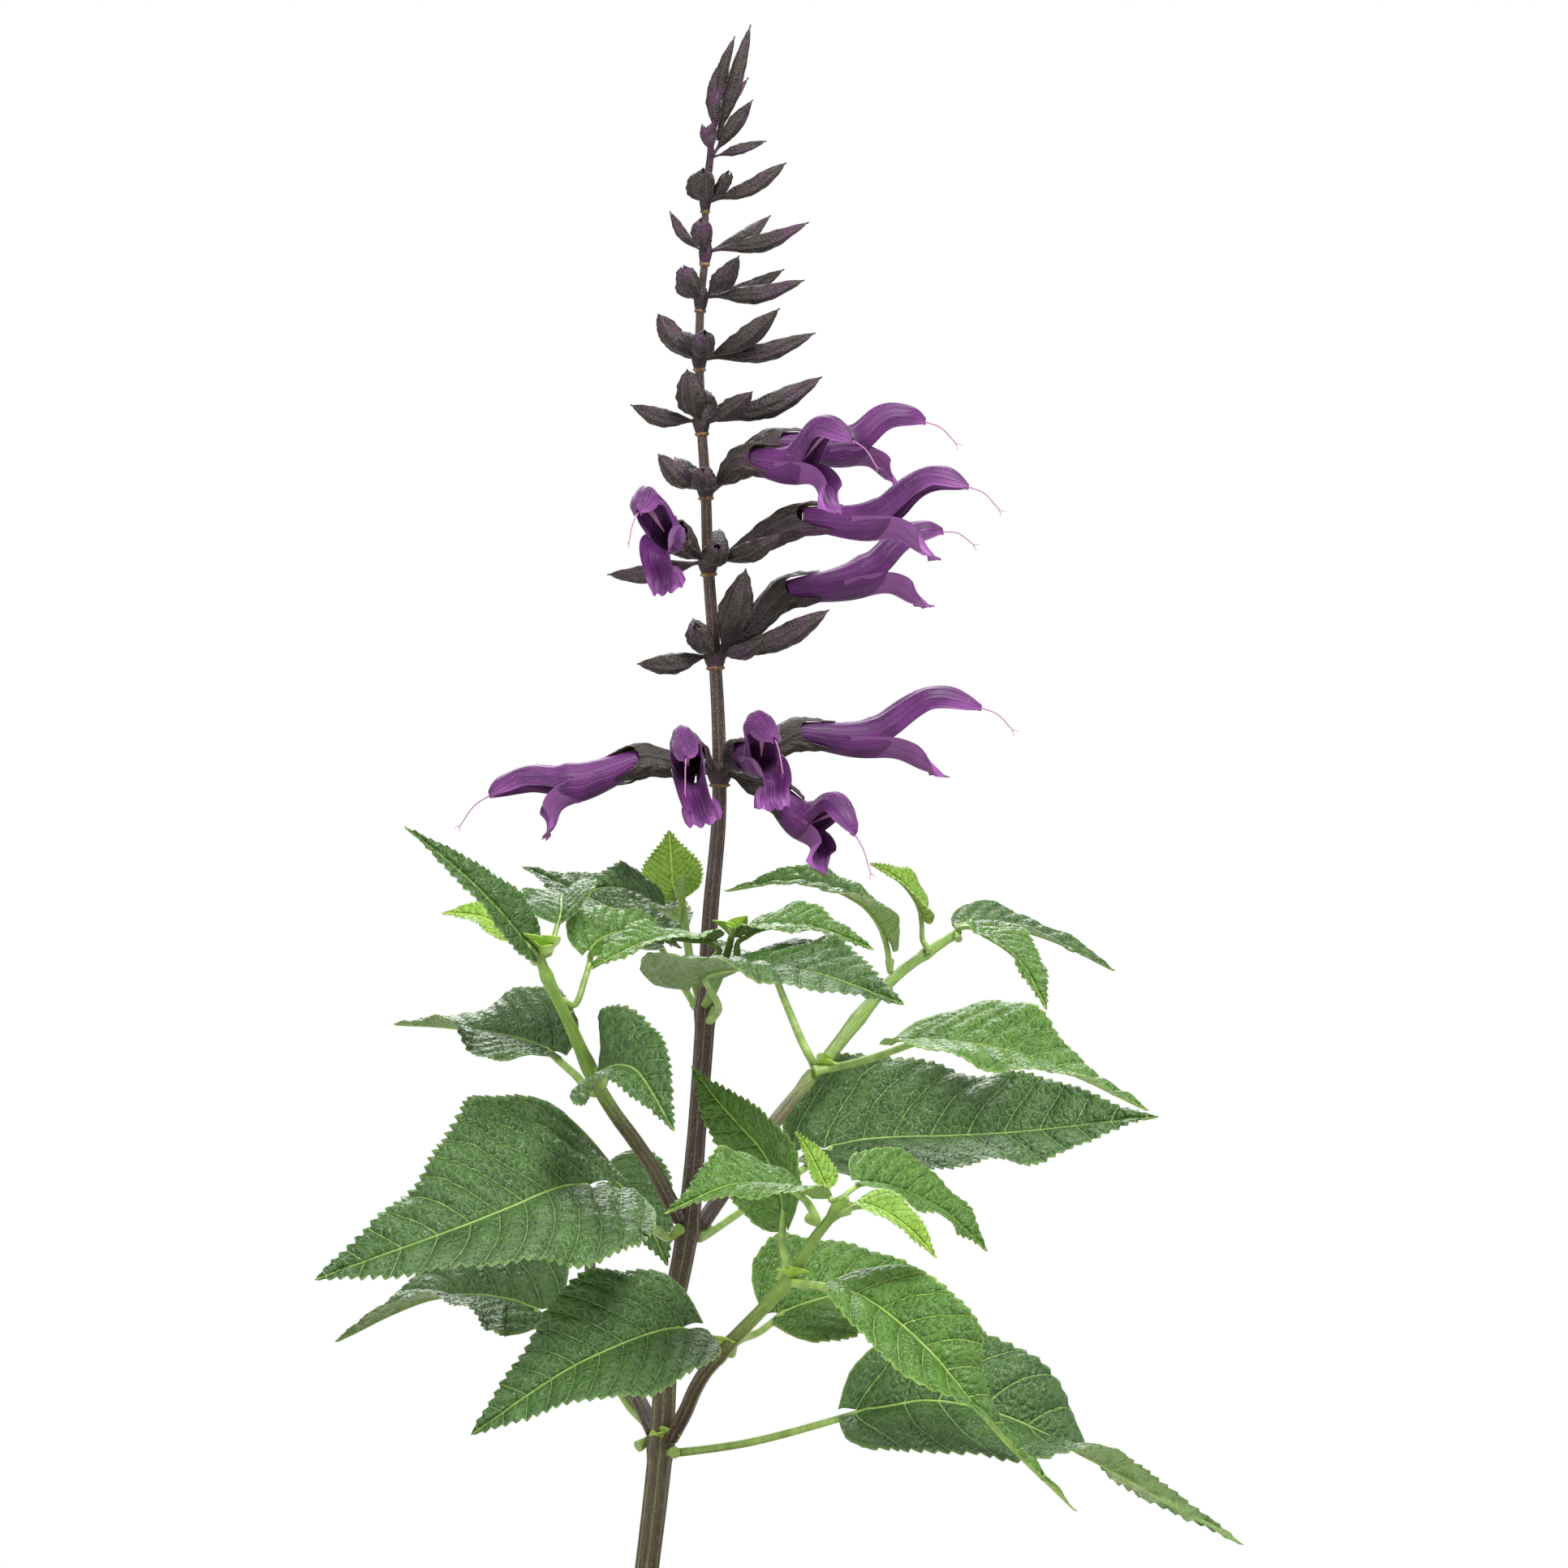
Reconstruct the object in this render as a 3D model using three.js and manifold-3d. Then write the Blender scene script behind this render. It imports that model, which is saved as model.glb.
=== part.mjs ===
// Potted salvia: one flowering shoot with side branches, leaves and a long flower spike, in a plain clay pot.
// Millimetres, +Z up; the origin is the centre of the pot's flat foot.
import * as THREE from "three";
import { mergeVertices } from "three/addons/utils/BufferGeometryUtils.js";
import Module from "manifold-3d";

const wasm = await Module();
wasm.setup();

// ---- Driving dimensions ----
const GAP = 0.3;
const POT = {
  height: 130,
  footRadius: 46,
  rimRadius: 72,
  rimHeight: 22,
  rimStep: 3,
  wall: 5,
  floor: 7,
  lipRound: 2.4,
  segments: 40,
  drainRadius: 4.5,
  drainReach: 24,
  drains: 3,
};
const SOIL = { top: 118, bump: 1.3, holeRadius: 3.9, holeFloor: 93.5 };
const STEM = {
  path: [
    [0, 0, 94], [0, 0, 118], [4, 0, 148], [7, 0, 174], [9, 0, 201], [13, 0, 223], [15, 0, 244],
    [17, 0, 271], [18, 0, 292], [20, 0, 316], [20, 0, 330], [19, 0, 351], [17.5, 0, 372],
    [17, 0, 388], [16, 0, 403], [16, 0, 430], [17, 0, 440], [17, 0, 452], [18, 0, 460.5],
  ],
  footRadius: 3.3,
  topRadius: 0.75,
  flat: 0.84,
  nodes: [175, 223, 271],
  nodeSwell: 0.8,
  nodeSpread: 3,
};
const BRANCH = { flat: 0.86, stations: 12, nodeSwell: 0.45, nodeSpread: 0.03 };
const LEAF = {
  thickness: 0.9,
  petioleStations: [0, 0.5, 1],
  bladeStations: [0.03, 0.15, 0.35, 0.56, 0.76, 0.92],
  bladeWidths: [0.62, 0.95, 1, 0.84, 0.52, 0.18],
  quarterRise: 0.66,
};
const COROLLA = {
  tube: [
    [0, 1.9, 1.9], [0.1, 2.7, 2.4], [0.2, 3.5, 3], [0.32, 4.5, 3.6],
    [0.46, 3.7, 3], [0.66, 3.1, 2.5], [0.84, 2.5, 2], [0.95, 1.5, 1.3],
  ],
  throat: 0.34,
  lip: [[0, 2.4, 1.2], [0.4, 2.6, 1.2], [0.7, 4, 1], [0.9, 4.2, 0.8]],
  styleRadius: 0.4,
  styleReach: 7,
  styleDrop: 4,
};
const CALYX = {
  closed: [[0, 0.7], [0.14, 0.65], [0.32, 0.75], [0.56, 1], [0.8, 0.62]],
  cupReach: 6.5,
  cupWall: 0.9,
  sides: 6,
};
const COLLAR = { wall: 1.3, height: 3, segments: 8 };

const COLOURS = {
  clay: [0xb56a45, 0.9],
  soil: [0x2f231b, 1],
  stem: [0x4a3330, 0.6],
  green: [0x6f8f3a, 0.6],
  leaf: [0x3f6f35, 0.65],
  young: [0x86b83c, 0.6],
  petal: [0x7a2a8f, 0.55],
  calyx: [0x3b3036, 0.7],
};

// ---- Geometry helpers ----
const vec = (p) => new THREE.Vector3(...p);
const curveOf = (points) => new THREE.CatmullRomCurve3(points.map(vec), false, "centripetal");
const lerp = THREE.MathUtils.lerp;

function closedGeometry(vertices, faces) {
  let volume = 0;
  for (const [a, b, c] of faces) {
    volume += vertices[a].dot(new THREE.Vector3().crossVectors(vertices[b], vertices[c]));
  }
  const wound = volume < 0 ? faces.map(([a, b, c]) => [a, c, b]) : faces;
  const geometry = new THREE.BufferGeometry().setFromPoints(vertices);
  geometry.setIndex(wound.flat());
  geometry.computeVertexNormals();
  return geometry;
}

// A closed skin over rings of equal point counts, with a point at each end.
function loft(rings, first, last) {
  const sides = rings[0].length;
  const vertices = [...rings.flat(), first, last];
  const faces = [];
  const start = vertices.length - 2;
  const end = vertices.length - 1;
  const lastRing = (rings.length - 1) * sides;
  for (let i = 0; i < sides; i++) {
    const j = (i + 1) % sides;
    faces.push([start, j, i]);
    faces.push([end, lastRing + i, lastRing + j]);
    for (let r = 0; r < rings.length - 1; r++) {
      const a = r * sides;
      const b = a + sides;
      faces.push([a + i, a + j, b + j]);
      faces.push([a + i, b + j, b + i]);
    }
  }
  return closedGeometry(vertices, faces);
}

// Width and rise directions across a path, from its tangent and a direction to face.
function frameAt(curve, t, facing) {
  const along = curve.getTangent(Math.min(t, 1));
  const across = new THREE.Vector3().crossVectors(along, facing).normalize();
  const rise = new THREE.Vector3().crossVectors(across, along).normalize();
  return { along, across, rise };
}

function ring(curve, t, facing, outline) {
  const centre = curve.getPoint(t);
  const { across, rise } = frameAt(curve, t, facing);
  return outline.map(([w, h]) =>
    centre.clone().addScaledVector(across, w).addScaledVector(rise, h));
}

function oval(halfWidth, halfHeight, sides, flat = 1) {
  return Array.from({ length: sides }, (_, i) => {
    const angle = (i / sides) * 2 * Math.PI + Math.PI / 4;
    const reach = i % 2 ? flat : 1;
    return [Math.cos(angle) * halfWidth * reach, Math.sin(angle) * halfHeight * reach];
  });
}

function tube(curve, stations, facing, sides, flat = 1) {
  const rings = stations.map(([t, w, h = w]) => ring(curve, t, facing, oval(w, h, sides, flat)));
  return loft(rings, curve.getPoint(stations[0][0]), curve.getPoint(1));
}

// The stretch of a path that lies clear of its parent stem.
function clearOf(parent, points, radius) {
  const whole = curveOf(points);
  const samples = parent.curve.getPoints(240);
  let t = 0;
  for (; t < 0.5; t += 0.002) {
    const here = whole.getPoint(t);
    let clear = Infinity;
    samples.forEach((sample, i) => {
      const parentRadius = parent.radius(i / (samples.length - 1));
      clear = Math.min(clear, here.distanceTo(sample) - parentRadius);
    });
    if (clear > radius * 0.85 + GAP) break;
  }
  const kept = Array.from({ length: 25 }, (_, i) => whole.getPoint(lerp(t, 1, i / 24)));
  return new THREE.CatmullRomCurve3(kept, false, "centripetal");
}

function solidOf(geometry) {
  const bare = geometry.clone();
  bare.deleteAttribute("normal");
  bare.deleteAttribute("uv");
  const merged = mergeVertices(bare, 1e-4);
  return new wasm.Manifold(
    new wasm.Mesh({
      numProp: 3,
      vertProperties: new Float32Array(merged.attributes.position.array),
      triVerts: new Uint32Array(merged.index.array),
    }),
  );
}

function geometryOf(solid) {
  const mesh = solid.getMesh();
  const geometry = new THREE.BufferGeometry();
  geometry.setAttribute("position", new THREE.BufferAttribute(mesh.vertProperties, 3));
  geometry.setIndex(new THREE.BufferAttribute(mesh.triVerts, 1));
  geometry.computeVertexNormals();
  return geometry;
}

const joined = (geometries) => geometries.map(solidOf).reduce((sum, solid) => sum.add(solid));

// ---- Pot and soil ----
function potGeometry() {
  const slope = (POT.rimRadius - POT.rimStep - POT.footRadius) / POT.height;
  const outer = (z) => POT.footRadius + slope * z;
  const inner = (z) => outer(z) - POT.wall;
  const rimFoot = POT.height - POT.rimHeight;
  const lip = POT.lipRound;
  const profile = [
    [0, 0], [POT.footRadius - 1, 0], [POT.footRadius, 1], [outer(rimFoot), rimFoot],
    [outer(rimFoot) + POT.rimStep, rimFoot + 1], [POT.rimRadius, POT.height - lip],
    [POT.rimRadius - lip * 0.4, POT.height - lip * 0.3], [POT.rimRadius - lip, POT.height],
    [inner(POT.height) + lip, POT.height], [inner(POT.height) + 0.5, POT.height - lip * 0.5],
    [inner(POT.height), POT.height - lip * 1.5], [inner(POT.floor + 2), POT.floor + 2],
    [inner(POT.floor) - 2, POT.floor], [0, POT.floor],
  ];
  const turned = new THREE.LatheGeometry(profile.map(([r, z]) => new THREE.Vector2(r, z)), POT.segments);
  turned.rotateX(Math.PI / 2);
  let solid = solidOf(turned);
  for (let i = 0; i < POT.drains; i++) {
    const angle = (i / POT.drains) * 2 * Math.PI;
    const hole = new THREE.CylinderGeometry(POT.drainRadius, POT.drainRadius, POT.floor * 4, 16);
    hole.rotateX(Math.PI / 2);
    hole.translate(Math.cos(angle) * POT.drainReach, Math.sin(angle) * POT.drainReach, 0);
    solid = solid.subtract(solidOf(hole));
  }
  return geometryOf(solid);
}

function soilGeometry() {
  const slope = (POT.rimRadius - POT.rimStep - POT.footRadius) / POT.height;
  const inner = (z) => POT.footRadius + slope * z - POT.wall - GAP;
  const floor = POT.floor + GAP;
  const topRadii = [0.85, 0.65, 0.42, 0.2].map((share) => share * inner(SOIL.top));
  const profile = [
    [0, floor], [inner(floor) - 2, floor], [inner(floor + 2), floor + 2],
    [inner(SOIL.top - 2), SOIL.top - 2], [inner(SOIL.top) - 0.6, SOIL.top - 0.5],
    ...topRadii.map((r) => [r, SOIL.top]),
    [SOIL.holeRadius, SOIL.top], [SOIL.holeRadius, SOIL.holeFloor], [0, SOIL.holeFloor],
  ];
  const turned = new THREE.LatheGeometry(profile.map(([r, z]) => new THREE.Vector2(r, z)), POT.segments);
  turned.rotateX(Math.PI / 2);
  const places = turned.attributes.position;
  for (let i = 0; i < places.count; i++) {
    const radius = Math.hypot(places.getX(i), places.getY(i));
    if (Math.abs(places.getZ(i) - SOIL.top) < 0.01 && radius > SOIL.holeRadius + 1) {
      const angle = Math.atan2(places.getY(i), places.getX(i));
      const wave = Math.sin(angle * 5 + radius * 0.7) + Math.cos(angle * 3 - radius * 0.4);
      places.setZ(i, SOIL.top + SOIL.bump * 0.5 * wave);
    }
  }
  return turned;
}

// ---- Stems ----
function stemRadius(z) {
  const share = (z - STEM.path[0][2]) / (STEM.path.at(-1)[2] - STEM.path[0][2]);
  const swell = STEM.nodes.map((node) => Math.exp(-(((z - node) / STEM.nodeSpread) ** 2)));
  return lerp(STEM.footRadius, STEM.topRadius, Math.max(0, share) ** 1.05)
    + STEM.nodeSwell * Math.max(...swell);
}

const stemCurve = curveOf(STEM.path);

// The place along the main stem at a given height.
function stemShareAt(z) {
  let low = 0;
  let high = 1;
  for (let i = 0; i < 30; i++) {
    const middle = (low + high) / 2;
    if (stemCurve.getPoint(middle).z < z) low = middle;
    else high = middle;
  }
  return low;
}

const mainStem = { curve: stemCurve, radius: (t) => stemRadius(stemCurve.getPoint(t).z) };

function mainStemGeometry() {
  const heights = STEM.path.map((point) => point[2]);
  STEM.nodes.forEach((node) => heights.push(node - STEM.nodeSpread, node, node + STEM.nodeSpread));
  const levels = [...new Set(heights)].sort((a, b) => a - b);
  const kept = levels.filter((z, i) => i === 0 || z - levels[i - 1] > 0.6);
  const stations = kept.map((z) => [stemShareAt(z), stemRadius(z)]);
  stations.at(-1)[0] = 0.999;
  return tube(stemCurve, stations, new THREE.Vector3(1, 0, 0), 8, STEM.flat);
}

// A side branch: its route, radius at each end, places of its own leaf nodes, and a bud at its tip.
function branch(parent, points, startRadius, endRadius, nodes, budRadius = 0) {
  const curve = clearOf(parent, points, startRadius);
  const radius = (t) => {
    const swell = nodes.map((node) => Math.exp(-(((t - node) / BRANCH.nodeSpread) ** 2)));
    return lerp(startRadius, endRadius, t) + BRANCH.nodeSwell * Math.max(0, ...swell);
  };
  const shares = Array.from({ length: BRANCH.stations }, (_, i) => i / BRANCH.stations);
  nodes.forEach((node) => shares.push(node - BRANCH.nodeSpread, node, node + BRANCH.nodeSpread));
  shares.push(0.955, 0.985);
  const ordered = shares.filter((t) => t >= 0 && t < 0.99).sort((a, b) => a - b);
  const kept = ordered.filter((t, i) => i === 0 || t - ordered[i - 1] > 0.008);
  const stations = kept.map((t) => [t, t === 0.955 && budRadius ? budRadius : radius(t)]);
  return { curve, radius, geometry: tube(curve, stations, new THREE.Vector3(0, 1, 0.2), 8, BRANCH.flat) };
}

// ---- Leaves ----
// A leaf: a round petiole that flattens into a blade folded a little along its midrib.
function leafGeometry(parent, { path, bladeFrom, width, facing, fold = 0.2, petiole = 0.9 }) {
  const curve = clearOf(parent, path, petiole);
  const face = vec(facing);
  const neck = vec(path[bladeFrom]);
  const steps = 200;
  let bladeStart = 0;
  for (let i = 1; i < steps; i++) {
    const nearer = curve.getPoint(i / steps).distanceTo(neck) < curve.getPoint(bladeStart).distanceTo(neck);
    if (nearer) bladeStart = i / steps;
  }
  const petioleEnd = bladeStart - 0.012;
  const rings = LEAF.petioleStations.map((share) =>
    ring(curve, share * petioleEnd, face, oval(petiole, petiole, 8)));
  LEAF.bladeStations.forEach((share, i) => {
    const half = (width / 2) * LEAF.bladeWidths[i];
    const thick = LEAF.thickness / 2;
    const rise = half * fold * 2;
    const quarter = rise * LEAF.quarterRise;
    const outline = [
      [half, rise], [half / 2, quarter + thick], [0, thick], [-half / 2, quarter + thick],
      [-half, rise], [-half / 2, quarter - thick], [0, -thick], [half / 2, quarter - thick],
    ];
    rings.push(ring(curve, lerp(bladeStart, 1, share), face, outline));
  });
  return loft(rings, curve.getPoint(0), curve.getPoint(1));
}

// ---- Flowers ----
// The mirror plane of a flower holds its base, hood tip and lip tip.
function corollaFrame({ base, throat, hood, tip, lip }) {
  const side = new THREE.Vector3()
    .crossVectors(vec(tip).sub(vec(base)), vec(lip).sub(vec(base)))
    .normalize();
  return { curve: curveOf([base, throat, hood, tip]), side };
}

function sectionAcross(curve, t, side, halfHeight, halfWidth, sides) {
  const along = curve.getTangent(t);
  const rise = new THREE.Vector3().crossVectors(side, along).normalize();
  const centre = curve.getPoint(t);
  return oval(halfWidth, halfHeight, sides).map(([w, h]) =>
    centre.clone().addScaledVector(side, w).addScaledVector(rise, h));
}

function corollaGeometry(flower) {
  const { curve, side } = corollaFrame(flower);
  const rings = COROLLA.tube.map(([t, height, width]) => sectionAcross(curve, t, side, height, width, 8));
  const body = loft(rings, curve.getPoint(0), curve.getPoint(1));

  const root = curve.getPoint(COROLLA.throat);
  const lipTip = vec(flower.lip);
  const knee = root.clone().lerp(lipTip, 0.45).addScaledVector(curve.getTangent(COROLLA.throat), 1.5);
  const lipCurve = new THREE.CatmullRomCurve3([root, knee, lipTip]);
  const lipRings = COROLLA.lip.map(([t, width, height]) =>
    sectionAcross(lipCurve, t, side, height, width, 8));
  const lip = loft(lipRings, root, lipTip);

  const inside = curve.getPoint(0.93);
  const out = curve.getTangent(1);
  const end = curve.getPoint(1).addScaledVector(out, COROLLA.styleReach);
  end.z -= COROLLA.styleDrop;
  const middle = curve.getPoint(1).addScaledVector(out, COROLLA.styleReach * 0.45);
  middle.z -= COROLLA.styleDrop * 0.2;
  const styleCurve = new THREE.CatmullRomCurve3([inside, middle, end]);
  const styleStations = [0, 0.5, 0.95].map((t) => [t, COROLLA.styleRadius]);
  const style = tube(styleCurve, styleStations, side, 4);
  return geometryOf(joined([body, lip, style]));
}

function collarGeometry(z) {
  const t = stemShareAt(z);
  const inner = stemRadius(z) + GAP + 0.1;
  const outer = inner + COLLAR.wall;
  const half = COLLAR.height / 2;
  const outline = [[inner, -half], [outer, -half * 0.4], [outer, half * 0.4], [inner, half], [inner, -half]];
  const turned = new THREE.LatheGeometry(outline.map(([r, h]) => new THREE.Vector2(r, h)), COLLAR.segments);
  turned.applyQuaternion(
    new THREE.Quaternion().setFromUnitVectors(new THREE.Vector3(0, 1, 0), stemCurve.getTangent(t)),
  );
  return turned.translate(...stemCurve.getPoint(t));
}

// Where a flower stalk leaves its collar, towards a point out from the stem.
function stalkFoot(z, towards) {
  const centre = stemCurve.getPoint(stemShareAt(z));
  const out = towards.clone().sub(centre).setZ(0).normalize();
  return centre.addScaledVector(out, stemRadius(z) + GAP + COLLAR.wall * 0.7);
}

// A shut calyx or a bud: a short stalk, a swollen body and a drawn-out tip.
function closedCalyx(foot, tip, radius) {
  const middle = foot.clone().lerp(tip, 0.5);
  middle.z -= foot.distanceTo(tip) * 0.06;
  const curve = new THREE.CatmullRomCurve3([foot, middle, tip]);
  const stations = CALYX.closed.map(([t, share], i) => [t, i < 2 ? share : share * radius]);
  return tube(curve, stations, new THREE.Vector3(0.1, 0.2, 1), CALYX.sides);
}

// An open calyx: a hollow cup that holds the foot of a corolla with a little room all round.
function cupSolid(foot, flower) {
  const { curve, side } = corollaFrame(flower);
  const reach = CALYX.cupReach / curve.getLength();
  const [, footRadius] = COROLLA.tube[0];
  const start = curve.getPoint(0);
  const back = start.clone().lerp(foot, 0.5);
  const mouth = curve.getPointAt(reach);
  const outside = new THREE.CatmullRomCurve3([foot, back, start, mouth]);
  const wide = footRadius + GAP + CALYX.cupWall;
  const outer = [[0, 0.7], [0.2, 0.7], [0.42, wide], [0.7, wide + 0.9], [1, wide + 1.4]];
  const outerRings = outer.map(([t, r]) => sectionAcross(outside, t, side, r, r, 8));
  const cup = solidOf(loft(outerRings, foot, mouth));
  const beyond = curve.getPointAt(reach * 1.4);
  const before = start.clone().addScaledVector(curve.getTangent(0), -GAP * 1.6);
  const inside = new THREE.CatmullRomCurve3([before, start, mouth, beyond]);
  const inner = [[0, footRadius + GAP], [0.33, footRadius + GAP + 0.3], [0.67, wide + 0.8], [1, wide + 1.3]];
  const innerRings = inner.map(([t, r]) => sectionAcross(inside, t, side, r, r, 8));
  return cup.subtract(solidOf(loft(innerRings, before, beyond)));
}

function whorlGeometry({ z, closed, open = [] }) {
  const pieces = closed.map(({ tip, radius }) => {
    const end = vec(tip);
    return closedCalyx(stalkFoot(z, end), end, radius);
  });
  let solid = joined([collarGeometry(z), ...pieces]);
  open.forEach((flower) => {
    solid = solid.add(cupSolid(stalkFoot(z, vec(flower.base)), flower));
  });
  return geometryOf(solid);
}

// The tip of the spike: a short core above the stem's end, with the youngest buds on it.
function tipBudsGeometry() {
  const core = curveOf([[18.1, 0, 461], [18.6, 0, 465], [19.6, 0, 470]]);
  const stations = [[0, 0.8], [0.5, 0.8], [0.9, 0.6]];
  const buds = TIP_BUDS.map(({ foot, tip, radius }) => closedCalyx(vec(foot), vec(tip), radius));
  return geometryOf(joined([tube(core, stations, new THREE.Vector3(1, 0, 0), 6), ...buds]));
}

// ---- Places ----
const TIP_BUDS = [
  { foot: [19.4, 0, 467], tip: [27, 1, 490.5], radius: 2.5 },
  { foot: [19.2, -0.5, 466], tip: [20.5, -3, 482], radius: 2 },
  { foot: [19.2, 0.5, 466], tip: [27, 4.5, 479], radius: 1.6 },
  { foot: [18.4, -0.3, 463], tip: [27.5, -2.5, 473.5], radius: 2.2 },
  { foot: [18.4, 0.3, 462.6], tip: [30.5, 2.5, 464.8], radius: 1.7 },
  { foot: [18.4, -0.3, 462.6], tip: [16.2, -3, 468], radius: 1.3 },
];

const FLOWERS = {
  corolla_upper_back: {
    base: [32.5, 5, 397.5], throat: [49.5, 9, 398.5],
    hood: [58.5, 11, 404], tip: [66, 12, 403], lip: [60.5, 13, 389],
  },
  corolla_upper_front: {
    base: [26, -8, 393.5], throat: [37.5, -14, 393.5],
    hood: [43.5, -18, 399.5], tip: [49.5, -23, 397], lip: [46, -21, 381],
  },
  corolla_second_right: {
    base: [39, -5, 380.5], throat: [55.5, -8, 381.5],
    hood: [67, -10, 389], tip: [75, -11, 387.5], lip: [68.5, -12, 371.5],
  },
  corolla_second_left: {
    base: [11, -8, 376], throat: [8, -17, 378],
    hood: [4.5, -20, 384], tip: [2.5, -27, 381], lip: [9, -23, 363],
  },
  corolla_third_right: {
    base: [35, 6, 364.5], throat: [53, 10, 369.5],
    hood: [63.5, 13, 377.5], tip: [70, 14, 378.5], lip: [67.5, 13, 361.5],
  },
  corolla_low_left: {
    base: [2.5, -5, 327], throat: [-13.5, -9, 322.5],
    hood: [-23.5, -10, 322.5], tip: [-30.5, -11, 319.5], lip: [-18.5, -12, 310],
  },
  corolla_low_front_left: {
    base: [14.5, -8, 328], throat: [13.5, -18, 327],
    hood: [13, -22, 331.5], tip: [13, -30, 327.5], lip: [17.5, -24, 312.5],
  },
  corolla_low_front_right: {
    base: [24, -8, 328.5], throat: [29, -17, 329],
    hood: [30.5, -21, 335], tip: [32.5, -29, 331.5], lip: [32.5, -25, 316],
  },
  corolla_low_under: {
    base: [31, -4, 321], throat: [40, -9, 314.5],
    hood: [46, -14, 316.5], tip: [50, -19, 311], lip: [42.5, -17, 302.5],
  },
  corolla_low_right: {
    base: [37.5, 6, 333], throat: [55, 9, 333.5],
    hood: [67.5, 10, 340.5], tip: [78.5, 11, 339], lip: [71, 10, 323.5],
  },
};

const WHORLS = {
  calyx_whorl_1: {
    z: 324.4,
    closed: [
      { tip: [45, -9, 326.5], radius: 2.1 },
      { tip: [5.5, 7, 328], radius: 1.8 },
    ],
    open: ["corolla_low_left", "corolla_low_front_left", "corolla_low_front_right", "corolla_low_under", "corolla_low_right"],
  },
  calyx_whorl_2: {
    z: 350.3,
    closed: [
      { tip: [1.8, -4, 348.5], radius: 2.7 },
      { tip: [14.5, -9, 357.5], radius: 2.6 },
      { tip: [26, -9, 369.5], radius: 3.2 },
      { tip: [44.5, -3, 360.5], radius: 3.2 },
      { tip: [30, -12, 353.5], radius: 2 },
      { tip: [14, 11, 359], radius: 2.6 },
    ],
    open: ["corolla_third_right"],
  },
  calyx_whorl_3: {
    z: 371.2,
    closed: [
      { tip: [-5, 4, 368.5], radius: 2.7 },
      { tip: [34, -12, 377], radius: 2.4 },
      { tip: [20, -11, 374.5], radius: 2.8 },
      { tip: [20, 12, 379], radius: 2.6 },
    ],
    open: ["corolla_second_right", "corolla_second_left"],
  },
  calyx_whorl_4: {
    z: 387.2,
    closed: [
      { tip: [6.5, -4, 395], radius: 2.8 },
      { tip: [16.5, -10, 391.5], radius: 2.6 },
      { tip: [10, 10, 395], radius: 2.6 },
    ],
    open: ["corolla_upper_back", "corolla_upper_front"],
  },
  calyx_whorl_5: {
    z: 402,
    closed: [
      { tip: [13, -8, 413.5], radius: 3 },
      { tip: [0.3, -1, 406], radius: 2.4 },
      { tip: [27.5, -9, 408.5], radius: 2.5 },
      { tip: [43, 3, 412.5], radius: 3.1 },
      { tip: [17, 11, 410], radius: 2.6 },
    ],
  },
  calyx_whorl_6: {
    z: 416,
    closed: [
      { tip: [6.5, -4, 426], radius: 2.8 },
      { tip: [17, -9, 422], radius: 2.4 },
      { tip: [33.5, -7, 427], radius: 2.5 },
      { tip: [41.5, 4, 422.3], radius: 2.5 },
      { tip: [12, 9, 423], radius: 2.4 },
    ],
  },
  calyx_whorl_7: {
    z: 429.7,
    closed: [
      { tip: [12, -6, 436.5], radius: 2.4 },
      { tip: [24.5, -8, 438.5], radius: 2.2 },
      { tip: [39, -3, 433.5], radius: 2.3 },
      { tip: [34.5, 5, 436.5], radius: 2 },
      { tip: [11, 8, 435], radius: 2 },
    ],
  },
  calyx_whorl_8: {
    z: 439.8,
    closed: [
      { tip: [9, 0, 449], radius: 1.4 },
      { tip: [16, -7, 447], radius: 2.2 },
      { tip: [40, -2, 446.4], radius: 2.2 },
      { tip: [31.5, 5, 448.5], radius: 1.9 },
    ],
  },
  calyx_whorl_9: {
    z: 450.8,
    closed: [
      { tip: [16.5, -7, 458], radius: 2.3 },
      { tip: [35, 0, 459.8], radius: 2.2 },
      { tip: [22.5, -6, 457.5], radius: 1.5 },
      { tip: [14, 7, 458], radius: 2 },
    ],
  },
};

// Each branch: its parent, route, radii at its ends, shares of its length with leaf nodes, and tip bud.
const BRANCHES = {
  branch_low_right: {
    path: [[8, -1, 176], [11, -5, 180], [16, -14, 191], [21, -22, 198], [29, -30, 207], [35, -36, 214], [41, -42, 224], [48, -47, 233]],
    radii: [1.9, 1.1],
    nodes: [0.34, 0.67],
    bud: 2,
  },
  branch_low_left: {
    path: [[6, 1, 177], [2, 12, 184], [-3, 22, 190], [-7, 36, 201], [-10, 46, 212], [-8, 54, 222]],
    radii: [1.9, 1.1],
    nodes: [],
    bud: 0,
  },
  branch_mid_right: {
    path: [[16, 2, 224], [30, 20, 243], [42, 34, 257], [59, 48, 277], [67, 53, 283], [75, 58, 288]],
    radii: [1.9, 1.1],
    nodes: [0.5, 0.8],
    bud: 1.3,
  },
  branch_mid_left: {
    path: [[11, -2, 226], [4, -14, 240], [-5, -26, 254], [-13, -36, 272], [-17, -42, 281], [-19, -44, 287]],
    radii: [1.9, 1.1],
    nodes: [0.46, 0.78],
    bud: 1.3,
  },
  shoot_high_back: {
    path: [[16, 2, 273], [14, 8, 280], [12, 14, 292], [11, 18, 301]],
    radii: [1.1, 0.8],
    nodes: [],
    bud: 1.6,
  },
  shoot_high_front: {
    path: [[17, -2, 273], [20, -9, 279], [22, -13, 285], [23, -15, 289]],
    radii: [1.1, 0.8],
    nodes: [],
    bud: 1.4,
  },
};

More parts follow.
